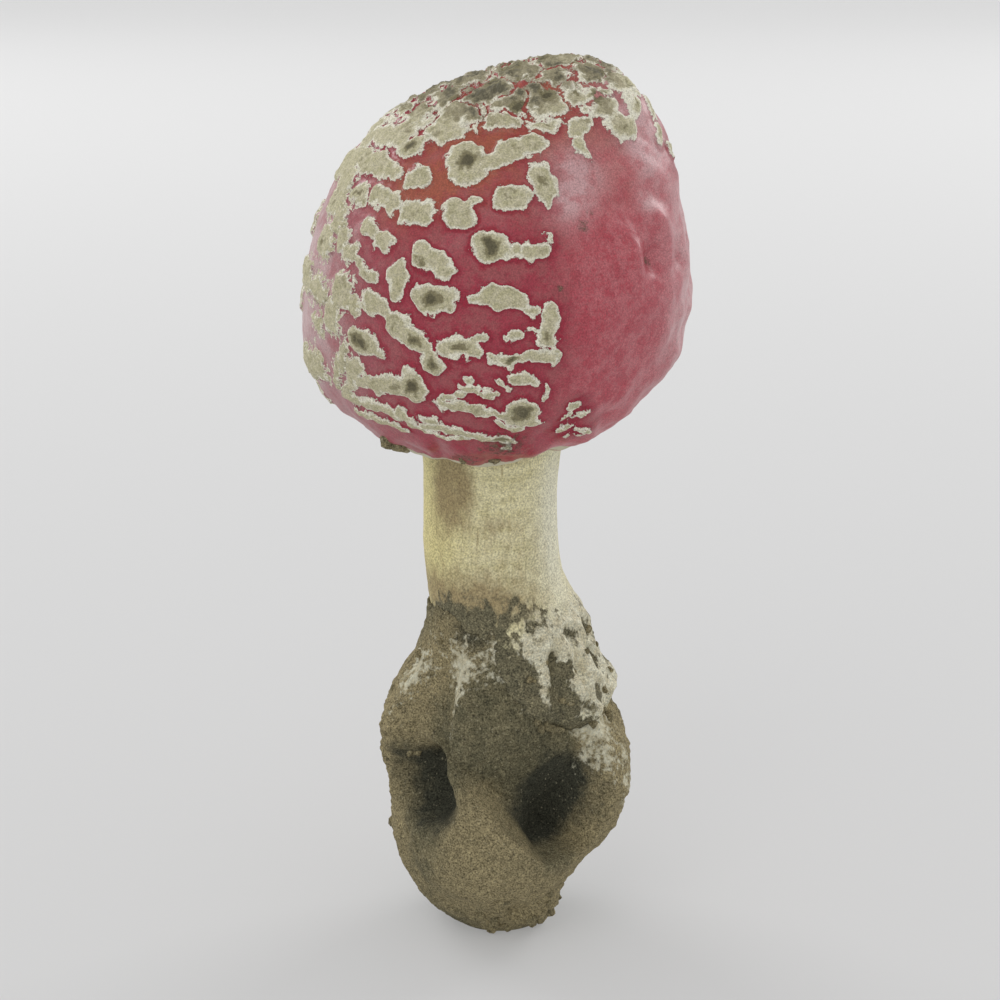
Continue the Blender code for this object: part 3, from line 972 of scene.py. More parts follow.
@dataclass(frozen=True)
class CapFinish:
    """Colours and gloss of the cap's skin and of its warts, with painted sheen on its edges and painted
    shade beside its warts.
    """

    red: Colour = (0.37, 0.036, 0.062)
    # Deeper red of the skin beside the warts, with painted shade in the channels between them.
    deep_red_and_shade: Colour = (0.33, 0.008, 0.034)
    worn_red: Colour = (0.37, 0.085, 0.095)
    bald_red: Colour = (0.45, 0.060, 0.085)
    bald_pink: Colour = (0.54, 0.155, 0.175)
    orange: Colour = (0.40, 0.095, 0.050)
    # Pale pink of the left edge: painted sheen.
    sheen_and_flecks: Colour = (0.56, 0.36, 0.36)
    # Pale pink of the right side: painted sheen.
    painted_sheen: Colour = (0.62, 0.36, 0.37)
    cream: Colour = (0.66, 0.61, 0.43)
    edge_cream: Colour = (0.94, 0.91, 0.76)
    green_cream: Colour = (0.48, 0.45, 0.26)
    olive: Colour = (0.27, 0.24, 0.135)
    core: Colour = (0.135, 0.120, 0.068)
    crown: Colour = (0.34, 0.30, 0.19)
    crown_dark: Colour = (0.125, 0.115, 0.075)
    rim: Colour = (0.66, 0.62, 0.46)
    shine: float = 0.5
    skin_roughness: float = 0.30
    wart_roughness: float = 0.85

    def build(self, effects: Effects) -> bpy.types.Material:
        """Make the material from the cap's stored masks.

        Args:
            effects: The shared node groups.

        Returns:
            The material.
        """
        made, board, shader = new_finish("cap_finish")
        where = board.place()
        torn = board.sum(
            board.read("wart"),
            board.times(board.clouds(where, 1.3, 4.0), 1.5),
            board.times(board.clouds(where, 0.32, 2.0), 0.5),
            # Small torn flecks of veil on the left edge, where its sheen is also painted.
            board.times(board.window(board.clouds(where, 0.8, 4.0), 0.44, 0.62, 1.6), board.read("sheen_and_flecks")),
            -1.25,
        )
        covered = board.window(torn, -0.05, 0.09)
        skin = self.skin(board, effects, where, torn)
        veil = self.veil(board, effects, where, torn)
        colour = board.blend(covered, skin, veil)
        rough = board.clouds(where, 0.8, 5.0)
        rim = board.window(board.sum(board.read("rim"), board.times(rough, 0.6)), 0.75, 0.95)
        colour = board.blend(rim, colour, self.rim)
        dirty = board.window(board.sum(board.read("dirt"), rough), 0.88, 1.2)
        earth = board.use(effects.earth, "Colour", place=where, tan=0.0, dark=0.2)
        colour = board.blend(board.times(dirty, 0.85), colour, earth)
        board.plug(colour, shader.inputs["Base Color"])
        dull = board.maths("MAXIMUM", covered, board.maths("MAXIMUM", dirty, rim))
        uneven = board.between(board.clouds(where, 1.8, 4.0), self.skin_roughness - 0.1, 0.52)
        board.plug(board.between(dull, uneven, self.wart_roughness), shader.inputs["Roughness"])
        shader.inputs["Specular IOR Level"].default_value = self.shine
        board.plug(self.relief(board, where, dull), shader.inputs["Normal"])
        return made

    @staticmethod
    def mottled(
        board: Board,
        effects: Effects,
        where: Socket,
        colours: tuple[Colour, Colour],
        cell: float,
        amount: float,
    ) -> Socket:
        """Cloud one colour with another.

        Args:
            board: The material's board.
            effects: The shared node groups.
            where: Coordinates in millimetres.
            colours: The colour below and the one of the clouds.
            cell: Size of a cloud in millimetres.
            amount: Strength of the clouds.

        Returns:
            The clouded colour.
        """
        base, cloud = colours
        shares = {"cell": cell, "amount": amount}
        return board.use(effects.mottle, "Colour", place=where, base=base, cloud=cloud, **shares)

    def skin(self, board: Board, effects: Effects, where: Socket, torn: Socket) -> Socket:
        """Colour the bare skin: deeper red with painted shade at the warts' edges, worn between them, pale
        where bald.

        Args:
            board: The material's board.
            effects: The shared node groups.
            where: Coordinates in millimetres.
            torn: Depth inside the torn veil, negative on skin.

        Returns:
            The colour.
        """
        channel = self.mottled(board, effects, where, (self.red, self.worn_red), 3.5, 0.9)
        # Beside the warts: the skin's deeper red, and painted shade in the channels.
        channel = board.blend(board.window(torn, -1.0, -0.12), channel, self.deep_red_and_shade)
        bald = self.mottled(board, effects, where, (self.bald_red, self.bald_pink), 2.2, 0.8)
        bare = board.blend(board.read("bald"), channel, bald)
        cloud = board.sum(board.window(board.clouds(where, 3.0, 4.0), 0.35, 0.62, 0.7), 0.5)
        bare = board.blend(board.times(board.read("orange"), cloud), bare, self.orange)
        # Painted sheen: pale pink on the left edge.
        bare = board.blend(board.times(board.read("sheen_and_flecks"), cloud), bare, self.sheen_and_flecks)
        # Painted sheen: pale pink on the right side.
        bare = board.blend(board.times(board.read("painted_sheen"), cloud), bare, self.painted_sheen)
        return board.use(effects.grain, "Colour", place=where, base=bare, cell=0.24, amount=1.2)

    def veil(self, board: Board, effects: Effects, where: Socket, torn: Socket) -> Socket:
        """Colour the torn veil: mottled cream with dark middles, olive on the crown.

        Args:
            board: The material's board.
            effects: The shared node groups.
            where: Coordinates in millimetres.
            torn: Depth inside the torn veil, negative on skin.

        Returns:
            The colour.
        """
        cream = self.mottled(board, effects, where, (self.cream, self.green_cream), 1.0, 0.75)
        edge = board.flip(board.window(torn, 0.08, 0.75))
        cream = board.blend(edge, cream, self.edge_cream)
        cells = board.clouds(where, 0.9, 5.0)
        patchy = board.times(board.clouds(where, 4.0, 3.0), 2.4)
        crown = board.sum(board.read("crown"), cells, patchy, board.times(edge, -0.6))
        cream = board.blend(board.window(crown, 1.9, 2.5, 0.9), cream, self.crown)
        cream = board.blend(board.window(crown, 2.5, 3.0, 0.9), cream, self.crown_dark)
        stain = board.sum(board.read("stain"), board.times(cells, 0.9))
        cream = board.blend(board.window(stain, 0.6, 0.85), cream, self.olive)
        cream = board.blend(board.window(stain, 0.9, 1.1), cream, self.core)
        pits = board.use(effects.specks, "Mask", place=where, cell=0.6, share=0.16)
        cream = board.blend(board.times(pits, 0.45), cream, self.olive)
        return board.use(effects.grain, "Colour", place=where, base=cream, cell=0.26, amount=1.2)

    def relief(self, board: Board, where: Socket, dull: Socket) -> Socket:
        """Give the nearly smooth skin and the grainy veil their fine relief.

        Args:
            board: The material's board.
            where: Coordinates in millimetres.
            dull: Mask of everything but skin.

        Returns:
            The normal.
        """
        grain = board.clouds(where, 0.45, 5.0)
        skin = board.times(board.clouds(where, 0.9, 3.0), 0.22)
        return board.bump(board.between(dull, skin, board.sum(0.5, grain)), 0.7, 0.4)


@dataclass
class Cap:
    """The red cap: a globe that swells towards its tilted crown, with warts of torn veil."""

    centre: Place = (0.8, 0.0, 113.0)
    radius: float = 30.4
    columns: int = 110
    rows: int = 56
    cuts: int = 3
    rim_height: float = 86.2
    rim_wave: float = 0.7
    rim_rise: float = 2.5
    rim_rise_azimuth: float = -42.0
    rim_rise_reach: float = 40.0
    rim_round: float = 1.6
    front_density: float = 0.2
    low_row: float = -75.0
    low_row_moved: float = -68.0
    bald_from: Span = (-78, -60)
    bald_to: Span = (25, 45)
    swell: Span = (0.3, 0.5)
    frill_height: float = 1.2
    frill_reach: float = 7.0
    swellings: tuple[tuple[float, float, float, float], ...] = (
        (-4, 61, 20, 8.4),
        (180, 65, 24, 1.4),
        (180, -26, 15, 3.0),
        (0, 0, 32, 1.0),
        (FRONT, 10, 40, 1.2),
        (90, 15, 45, 1.0),
        (-25, -58, 11, -1.8),
        (-165, -55, 12, 0.8),
        (-37, 15, 3.2, -2.2),
        (-45, 16, 3.0, 1.0),
        (-29, 14, 3.0, 0.7),
        (-30, 24, 5, 0.6),
        (-40, 29, 4, -0.6),
        (-30, 3, 6, 0.6),
        (-24, 12, 3.5, -0.7),
        (-43, -9, 4, -0.9),
        (-20, -20, 6, 0.7),
        (-28, -16, 3.5, -0.7),
        (-18, -35, 6, -0.8),
        (-60, 30, 9, -0.5),
        (-52, -22, 4, -0.4),
        (40, -5, 9, 0.7),
        (70, 30, 12, -0.8),
        (130, -20, 12, 0.8),
    )
    tones: dict[str, tuple[tuple[float, float, float, float], ...]] = field(
        default_factory=lambda: {
            "orange": ((-100, 50, 7, 0.8), (-112, 42, 7, 0.9), (-125, 36, 7, 0.9), (-60, 68, 20, 0.9)),
            # Left edge: painted sheen, with small torn flecks of veil in the same place.
            "sheen_and_flecks": ((-175, 5, 19, 0.9), (-160, 28, 14, 0.4), (-160, -20, 16, 0.4), (-148, 5, 12, 0.3)),
            # Right side: painted sheen.
            "painted_sheen": (
                (-60, 41, 6, 1.0),
                (-66, 33, 5, 0.6),
                (-34, 30, 2.5, 0.7),
                (-27, 41, 5, 0.7),
                (-22, 52, 8, 0.8),
                (-10, 18, 14, 0.8),
                (-14, -12, 12, 0.8),
            ),
            "crown": (
                (-90, 78, 12, 0.9),
                (0, 78, 13, 0.9),
                (-40, 68, 7, 0.5),
                (180, 78, 11, 0.8),
                (90, 80, 20, 0.9),
            ),
            "dirt": (
                (-83, -26, 4, 0.5),
                (-87, -43, 7, 0.6),
                (-106, -52, 4, 0.5),
                (-62, 27, 2.5, 0.5),
                (-58, 31, 1.5, 0.4),
                (-72, 10, 1.3, 0.6),
                (-37, 14, 1.5, 0.6),
            ),
        }
    )

    def outward(self, points: np.ndarray) -> np.ndarray:
        """Spread the sphere's points, with rows saved below the rim and columns at the back.

        Args:
            points: Points of the unit sphere.

        Returns:
            Their new directions.
        """
        turn = np.arctan2(points[:, 1], points[:, 0])
        from_front = turn - math.radians(FRONT)
        turn = turn - self.front_density * np.sin(from_front)
        rise = np.degrees(np.arcsin(np.clip(points[:, 2], -1, 1)))
        low, moved = self.low_row, self.low_row_moved
        above = 90 - (90 - rise) * (90 - moved) / (90 - low)
        below = moved - (low - rise) * (90 + moved) / (90 + low)
        rise = np.where(rise > low, above, below)
        level = np.cos(np.radians(rise))
        return np.column_stack((level * np.cos(turn), level * np.sin(turn), np.sin(np.radians(rise))))

    def reach(self, outward: np.ndarray) -> np.ndarray:
        """Measure how far the smooth skin is from the centre.

        Args:
            outward: Unit directions.

        Returns:
            The distance along each, in millimetres.
        """
        total = np.full(len(outward), self.radius)
        for azimuth, elevation, spread, height in self.swellings:
            total += Spot(azimuth, elevation, spread, height).at(outward)
        return total

    def rim_reach(self, outward: np.ndarray) -> np.ndarray:
        """Measure how far the wavy rim's level is from the centre.

        Args:
            outward: Unit directions.

        Returns:
            The distance along each, in millimetres.
        """
        turn = np.arctan2(outward[:, 1], outward[:, 0])
        wave = ripple(turn, 2, 5, 0.4)
        away = turn_from(np.degrees(turn), self.rim_rise_azimuth)
        rise = self.rim_rise * np.exp(-((away / self.rim_rise_reach) ** 4))
        drop = self.centre[2] - self.rim_height - self.rim_wave * wave - rise
        return drop / np.maximum(-outward[:, 2], 0.05)

    def build(self, warts: Warts) -> bpy.types.Mesh:
        """Make the skin with its warts raised on it, and store the masks of its finish.

        Args:
            warts: The warts.

        Returns:
            The cap's mesh.
        """
        bm = bmesh.new()
        bmesh.ops.create_uvsphere(bm, u_segments=self.columns, v_segments=self.rows, radius=1.0)
        bmesh.ops.subdivide_edges(bm, edges=bm.edges[:], cuts=self.cuts, use_grid_fill=True)
        mesh = mesh_of("cap_skin", bm)
        outward = self.outward(unit(positions(mesh)))
        skin, level = self.reach(outward), self.rim_reach(outward)
        crown = self.mask("crown", outward)
        depth, stain = warts.at(outward, crown)
        under = smooth_step(skin - level, -0.8, 0.4)
        points = outward * skin[:, None]
        lift = self.wart_lift(points, depth, stain, crown) * (1 - under)
        turn = np.degrees(np.arctan2(outward[:, 1], outward[:, 0]))
        right = smooth_step(turn, *self.bald_from) * (1 - smooth_step(turn, *self.bald_to)) * (1 - crown)
        swell = self.swell[0] + self.swell[1] * right
        lift += swell * Relief(5.0, 9.0).at(points) + 0.10 * Relief(2.2, 5.0, 2).at(points)
        above = (level - skin) * np.clip(-outward[:, 2], 0.2, 1)
        frill = np.exp(-((above / self.frill_reach) ** 2)) * smooth_step(-outward[:, 2], 0.2, 0.5)
        lift += frill * self.frill_height * Relief(5.5, 61.0, 2).at(points)
        reach = self.soft_min(skin + lift, level)
        set_positions(mesh, np.array(self.centre) + outward * reach[:, None])
        store(mesh, "wart", np.where(under > 0.5, 1.0, depth))
        store(mesh, "rim", np.exp(-((skin - level + 1.0) ** 2) / 1.0) + smooth_step(skin - level, 0, 1))
        store(mesh, "stain", stain * (1 - under))
        store(mesh, "bald", right * smooth_step(-depth, 0.5, 2.0))
        for name in self.tones:
            store(mesh, name, self.mask(name, outward))
        return mesh

    def soft_min(self, first: np.ndarray, second: np.ndarray) -> np.ndarray:
        """The smaller of two distances, rounded where they meet."""
        share = np.clip(0.5 + (second - first) / (2 * self.rim_round), 0, 1)
        return second + (first - second) * share - self.rim_round * share * (1 - share)

    def mask(self, name: str, outward: np.ndarray) -> np.ndarray:
        """A tone's strength, from 0 to 1, along unit directions."""
        return np.clip(sum(Spot(*row).at(outward) for row in self.tones[name]), 0, 1)

    def wart_lift(
        self, points: np.ndarray, depth: np.ndarray, stain: np.ndarray, crown: np.ndarray
    ) -> np.ndarray:
        """Raise the warts above the skin, with steep torn edges and a rough, dented top.

        Args:
            points: Points of the skin in millimetres.
            depth: Depth inside the nearest lobe in millimetres.
            stain: Darkness of its middle.
            crown: Share of the crown's cracked veil.

        Returns:
            The height at each point.
        """
        wall = smooth_step(depth, -0.05, 0.45)
        dome = 1 - np.exp(-np.maximum(depth, 0) / 1.2)
        rough = Relief(1.0, 21.0, 3).at(points)
        lumps = Relief(2.6, 33.0, 3).at(points)
        height = 0.48 + 0.2 * dome + 0.2 * rough - 0.25 * stain
        return wall * (height + crown * (0.1 + 0.55 * lumps + 0.2 * rough))


# ---------------------------------------------------------------------------
# Turned bodies: the stalk and the clod
# ---------------------------------------------------------------------------


@dataclass
class Turned:
    """A body turned about Z, shifted sideways level by level, then pushed in and out by forms."""

    outline: tuple[Place, ...]
    forms: tuple[Form, ...]
    middle: float
    reach: float
    rows: int
    sectors: int = 45
    cuts: int = 7
    run_out: float = 1.45

    def turn_outline(self, name: str) -> bpy.types.Mesh:
        """Spin the smooth outline about Z into a closed mesh.

        Args:
            name: The mesh's name.

        Returns:
            The mesh.
        """
        stations = self.stations()
        bm = bmesh.new()
        line = [(0.0, stations[0, 1]), *stations[:, :2], (0.0, stations[-1, 1])]
        verts = [bm.verts.new((radius * MM, 0, height * MM)) for radius, height in line]
        edges = [bm.edges.new(pair) for pair in zip(verts, verts[1:])]
        bmesh.ops.spin(
            bm,
            geom=verts + edges,
            cent=(0, 0, 0),
            axis=(0, 0, 1),
            dvec=(0, 0, 0),
            angle=math.tau,
            steps=self.sectors,
            use_merge=True,
            use_duplicate=False,
        )
        bmesh.ops.remove_doubles(bm, verts=bm.verts, dist=0.001 * MM)
        level = [edge for edge in bm.edges if self.is_level(edge)]
        bmesh.ops.subdivide_edges(bm, edges=level, cuts=self.cuts)
        bmesh.ops.recalc_face_normals(bm, faces=bm.faces)
        mesh = mesh_of(name, bm)
        points = positions(mesh)
        half = math.pi / self.sectors
        off_middle = np.arctan2(points[:, 1], points[:, 0]) % (2 * half) - half
        points[:, :2] *= (np.cos(off_middle) / math.cos(half))[:, None]
        set_positions(mesh, points)
        return mesh

    @staticmethod
    def is_level(edge: bmesh.types.BMEdge) -> bool:
        """Tell whether an edge runs round the body and not to its axis.

        Args:
            edge: The edge.

        Returns:
            Whether it does.
        """
        first, second = edge.verts
        same_height = abs(first.co.z - second.co.z) < 0.001 * MM
        return same_height and min(first.co.xy.length, second.co.xy.length) > 0.1 * MM

    def stations(self) -> np.ndarray:
        """Radius, height and shift down the smooth outline."""
        return through(np.array(self.outline), self.rows)

    def shift(self, height: np.ndarray) -> np.ndarray:
        """Sideways shift of the outline at heights."""
        stations = self.stations()[::-1]
        return np.interp(height, stations[:, 1], stations[:, 2])

    def radius(self, height: np.ndarray) -> np.ndarray:
        """Radius of the outline at heights."""
        stations = self.stations()[::-1]
        return np.interp(height, stations[:, 1], stations[:, 0])

    def azimuth(self, points: np.ndarray) -> np.ndarray:
        """Azimuths of points round the forms' axis."""
        return np.degrees(np.arctan2(points[:, 1], points[:, 0] - self.middle))

    def push(self, points: np.ndarray) -> np.ndarray:
        """How far the forms push points out."""
        turn = self.azimuth(points)
        return sum(form.at(turn, points[:, 2], self.reach, self.run_out) for form in self.forms)

    def sideways(self, points: np.ndarray) -> np.ndarray:
        """Point away from the forms' axis.

        Args:
            points: Points in millimetres.

        Returns:
            Level unit vectors, which fade to nothing on the axis.
        """
        away = points - np.array((self.middle, 0, 0))
        away[:, 2] = 0
        length = np.linalg.norm(away, axis=1, keepdims=True)
        return away / np.maximum(length, 1.0)

    def patch(self, rows: Rows, points: np.ndarray) -> np.ndarray:
        """Add up coloured patches.

        Args:
            rows: Each patch as a form's values.
            points: Points in millimetres.

        Returns:
            Their strength at each point, 0 to 1.
        """
        turn = self.azimuth(points)
        total = sum(Form(*row).at(turn, points[:, 2], self.reach, 1.0) for row in rows)
        return np.clip(total, 0, 1)


@dataclass(frozen=True)
class StalkFinish:
    """Colours of the stalk: fibrous cream, yellow on the left, painted light on the upper right front,
    stained and specked with soil.
    """

    cream: Colour = (0.80, 0.745, 0.47)
    shade: Colour = (0.64, 0.585, 0.33)
    yellow: Colour = (0.74, 0.66, 0.31)
    # pale is painted light on the stalk's upper right front, and the stalk's own pale cream lower on the
    # bulb.
    pale: Colour = (0.80, 0.79, 0.64)
    stain: Colour = (0.34, 0.26, 0.135)
    roughness: float = 0.72

    def build(self, effects: Effects) -> bpy.types.Material:
        """Make the material from the stalk's stored masks.

        Args:
            effects: The shared node groups.

        Returns:
            The material.
        """
        made, board, shader = new_finish("stalk_finish")
        where = board.place()
        strands = board.stretched(where, (1.0, 1.0, 0.16))
        fibre = board.clouds(strands, 0.5, 4.0)
        blotch = board.clouds(board.stretched(where, (0.6, 0.6, 1.5)), 2.2, 5.0)
        tone = board.sum(board.times(fibre, 0.4), board.times(blotch, 0.6))
        base = board.blend(board.window(tone, 0.36, 0.6), self.shade, self.cream)
        base = board.blend(board.read("yellow"), base, self.yellow)
        # Painted light on the upper right front, and pale cream on the bulb.
        base = board.blend(board.read("pale"), base, self.pale)
        cloud = board.clouds(board.stretched(where, (1.0, 1.0, 0.6)), 1.3, 5.0)
        stained = board.window(board.sum(board.read("stain"), cloud), 0.6, 1.5)
        base = board.blend(board.times(stained, 0.9), base, self.stain)
        specks = board.use(effects.specks, "Mask", place=strands, cell=0.8, share=0.05)
        base = board.blend(board.times(specks, 0.5), base, self.stain)
        wool = board.use(effects.mould, "Colour", place=where)
        base = board.blend(board.window(board.sum(board.read("wool"), cloud), 0.7, 1.2), base, wool)
        earth = board.use(effects.earth, "Colour", place=where, tan=0.1, dark=0.0)
        fine = board.clouds(board.stretched(where, (1.0, 1.0, 0.7)), 1.3, 6.0)
        dusted = board.window(board.sum(board.read("dust"), fine), 0.84, 1.0)
        base = board.blend(dusted, base, earth)
        base = board.use(effects.grain, "Colour", place=where, base=base, cell=0.32, amount=1.5)
        board.plug(base, shader.inputs["Base Color"])
        shader.inputs["Roughness"].default_value = self.roughness
        shader.inputs["Specular IOR Level"].default_value = 0.25
        grain = board.times(board.clouds(where, 0.4, 4.0), 0.6)
        height = board.sum(board.times(fibre, 0.6), grain, board.times(dusted, 0.6))
        board.plug(board.bump(height, 0.5, 0.25), shader.inputs["Normal"])
        return made


@dataclass
class Stalk(Turned):
    """The cream stalk, widened into the veil at the top and swollen below into the bulb."""

    outline: tuple[Place, ...] = (
        (12.6, 90.4, 0.0),
        (12.6, 89.4, 0.0),
        (11.9, 86.4, -0.1),
        (11.4, 83.0, -0.2),
        (11.2, 78.0, -0.3),
        (11.4, 70.0, -0.2),
        (11.5, 65.0, 0.2),
        (12.0, 61.0, 1.1),
        (13.0, 56.0, 2.8),
        (13.5, 50.0, 3.4),
        (14.6, 45.0, 5.0),
        (13.4, 40.0, 6.2),
        (9.5, 36.5, 6.4),
        (4.5, 34.5, 6.4),
    )
    forms: tuple[Form, ...] = (
        Form(-52, 47.5, 2.2, 4.6, 2.2, 3.0),
        Form(-36, 45.5, 2.0, 5.0, 2.2, 3.0),
        Form(-61, 48.5, 0.9, 4.5, -1.2, 3.0),
        Form(-44, 47.0, 0.9, 4.5, -1.2, 3.0),
        Form(-18, 49.0, 3.5, 1.5, 1.0),
        Form(5, 44.0, 4.0, 1.6, 1.1),
        Form(-62, 54.5, 3.0, 1.5, 0.7),
        Form(25, 50.0, 4.0, 1.5, 0.9),
    )
    middle: float = 4.0
    reach: float = 15.0
    rows: int = 230
    stains: Rows = (
        (-138, 82, 3.4, 6, 0.85, 3),
        (-150, 79, 3.0, 7, 0.45),
        (-126, 81, 2.0, 3, 0.4),
        # This row darkens a thin band on the stalk just under the cap's rim at the front.
        (-100, 87, 9, 1.5, 0.6),
        (-108, 75, 8, 2.0, 0.35),
        (-90, 70, 14, 5, 0.3),
        (60, 66, 12, 5, 0.5),
        (120, 62, 16, 5, 0.7),
        (170, 80, 4, 9, 0.4),
        (100, 86, 8, 2, 0.5),
        (-122, 61.5, 13, 4, 0.95),
    )
    yellows: Rows = ((-165, 72, 8, 18, 0.9, 3),)
    # First row: painted light on the upper right front; second row: pale cream on the bulb.
    lit_and_pale_patches: Rows = ((-35, 74, 8, 16, 0.8, 3), (-60, 46, 5, 8, 0.6))
    lumpy: Rows = ((-28, 50, 9, 9, 1.0, 3), (40, 48, 20, 10, 0.6, 3))
    wools: Rows = (
        (-70, 50, 6, 8, 0.95, 3),
        (-40, 50, 9, 9, 0.6, 3),
        (10, 50, 14, 12, 0.7, 4),
    )
    dusts: Rows = (
        (-137, 49, 13, 10.5, 0.75, 6),
        (150, 48, 22, 10, 0.75, 6),
        (60, 50, 16, 12, 0.5, 4),
        (-28, 52, 12, 11, 0.16, 3),
        (-62, 48, 1.0, 4.5, 0.4, 3),
        (-57, 46, 2.4, 4.5, 0.26, 3),
        (-72, 40, 8, 4.5, 0.55, 3),
        (-86, 47, 3.5, 5.5, 0.45, 3),
        (-50, 37, 20, 3.5, 0.5, 4),
        (-76, 58, 6, 4, 0.26),
        (-120, 61, 12, 4, 0.36, 3),
    )

    def build(self) -> bpy.types.Mesh:
        """Make the stalk with its fibres, and store the masks of its finish.

        Returns:
            The stalk's mesh.
        """
        mesh = self.turn_outline("stalk")
        points = positions(mesh)
        points[:, 0] += self.shift(points[:, 2])
        points += self.sideways(points) * self.push(points)[:, None]
        height = points[:, 2]
        strands = points * np.array((1.0, 1.0, 0.1))
        free = smooth_step(height, 56, 64)
        fine = 0.10 * Relief(0.9, 4.0).at(strands) + 0.12 * Relief(5.0, 8.0, 2).at(points)
        lumps = Relief(4.2, 13.0).lumps(points * np.array((1.0, 1.0, 0.7)))
        lumpy = self.patch(self.lumpy, points)
        rough = 0.3 + 0.22 * Relief(1.6, 19.0, 2).at(points) + 1.1 * lumpy * (lumps - 0.3)
        lift = free * fine + (1 - free) * (rough - 0.2)
        points += self.sideways(points) * lift[:, None]
        set_positions(mesh, points)
        store(mesh, "stain", self.patch(self.stains, points))
        store(mesh, "yellow", self.patch(self.yellows, points))
        store(mesh, "pale", self.patch(self.lit_and_pale_patches, points))
        store(mesh, "wool", self.patch(self.wools, points))
        # The grooves between the lumps also take the earth colour, so they come out darker.
        grooves = 0.5 * lumpy * (1 - free) * np.clip(0.4 - lumps, 0, 1)
        store(mesh, "dust", self.patch(self.dusts, points) + grooves)
        return mesh


@dataclass(frozen=True)
class SoilFinish:
    """Finish of the clod: grey-brown earth with tan and mouldy patches, and dark patches that are mostly
    painted shade in its hollows.
    """

    roughness: float = 0.95
    shine: float = 0.15

    def build(self, effects: Effects) -> bpy.types.Material:
        """Make the material from the clod's stored masks.

        Args:
            effects: The shared node groups.

        Returns:
            The material.
        """
        made, board, shader = new_finish("soil_finish")
        where = board.place()
        # The dark mask is mostly painted shade in the hollows.
        masks = {"place": where, "tan": board.read("tan"), "dark": board.read("dark")}
        earth = board.use(effects.earth, "Colour", **masks)
        wool = board.use(effects.mould, "Colour", place=where)
        cloud = board.times(board.clouds(where, 1.1, 6.0), 1.5)
        mouldy = board.window(board.sum(board.read("mould"), cloud), 1.08, 1.4)
        board.plug(board.blend(mouldy, earth, wool), shader.inputs["Base Color"])
        shader.inputs["Roughness"].default_value = self.roughness
        shader.inputs["Specular IOR Level"].default_value = self.shine
        height = board.use(effects.earth, "Height", **masks)
        board.plug(board.bump(height, 0.8, 0.4), shader.inputs["Normal"])
        return made


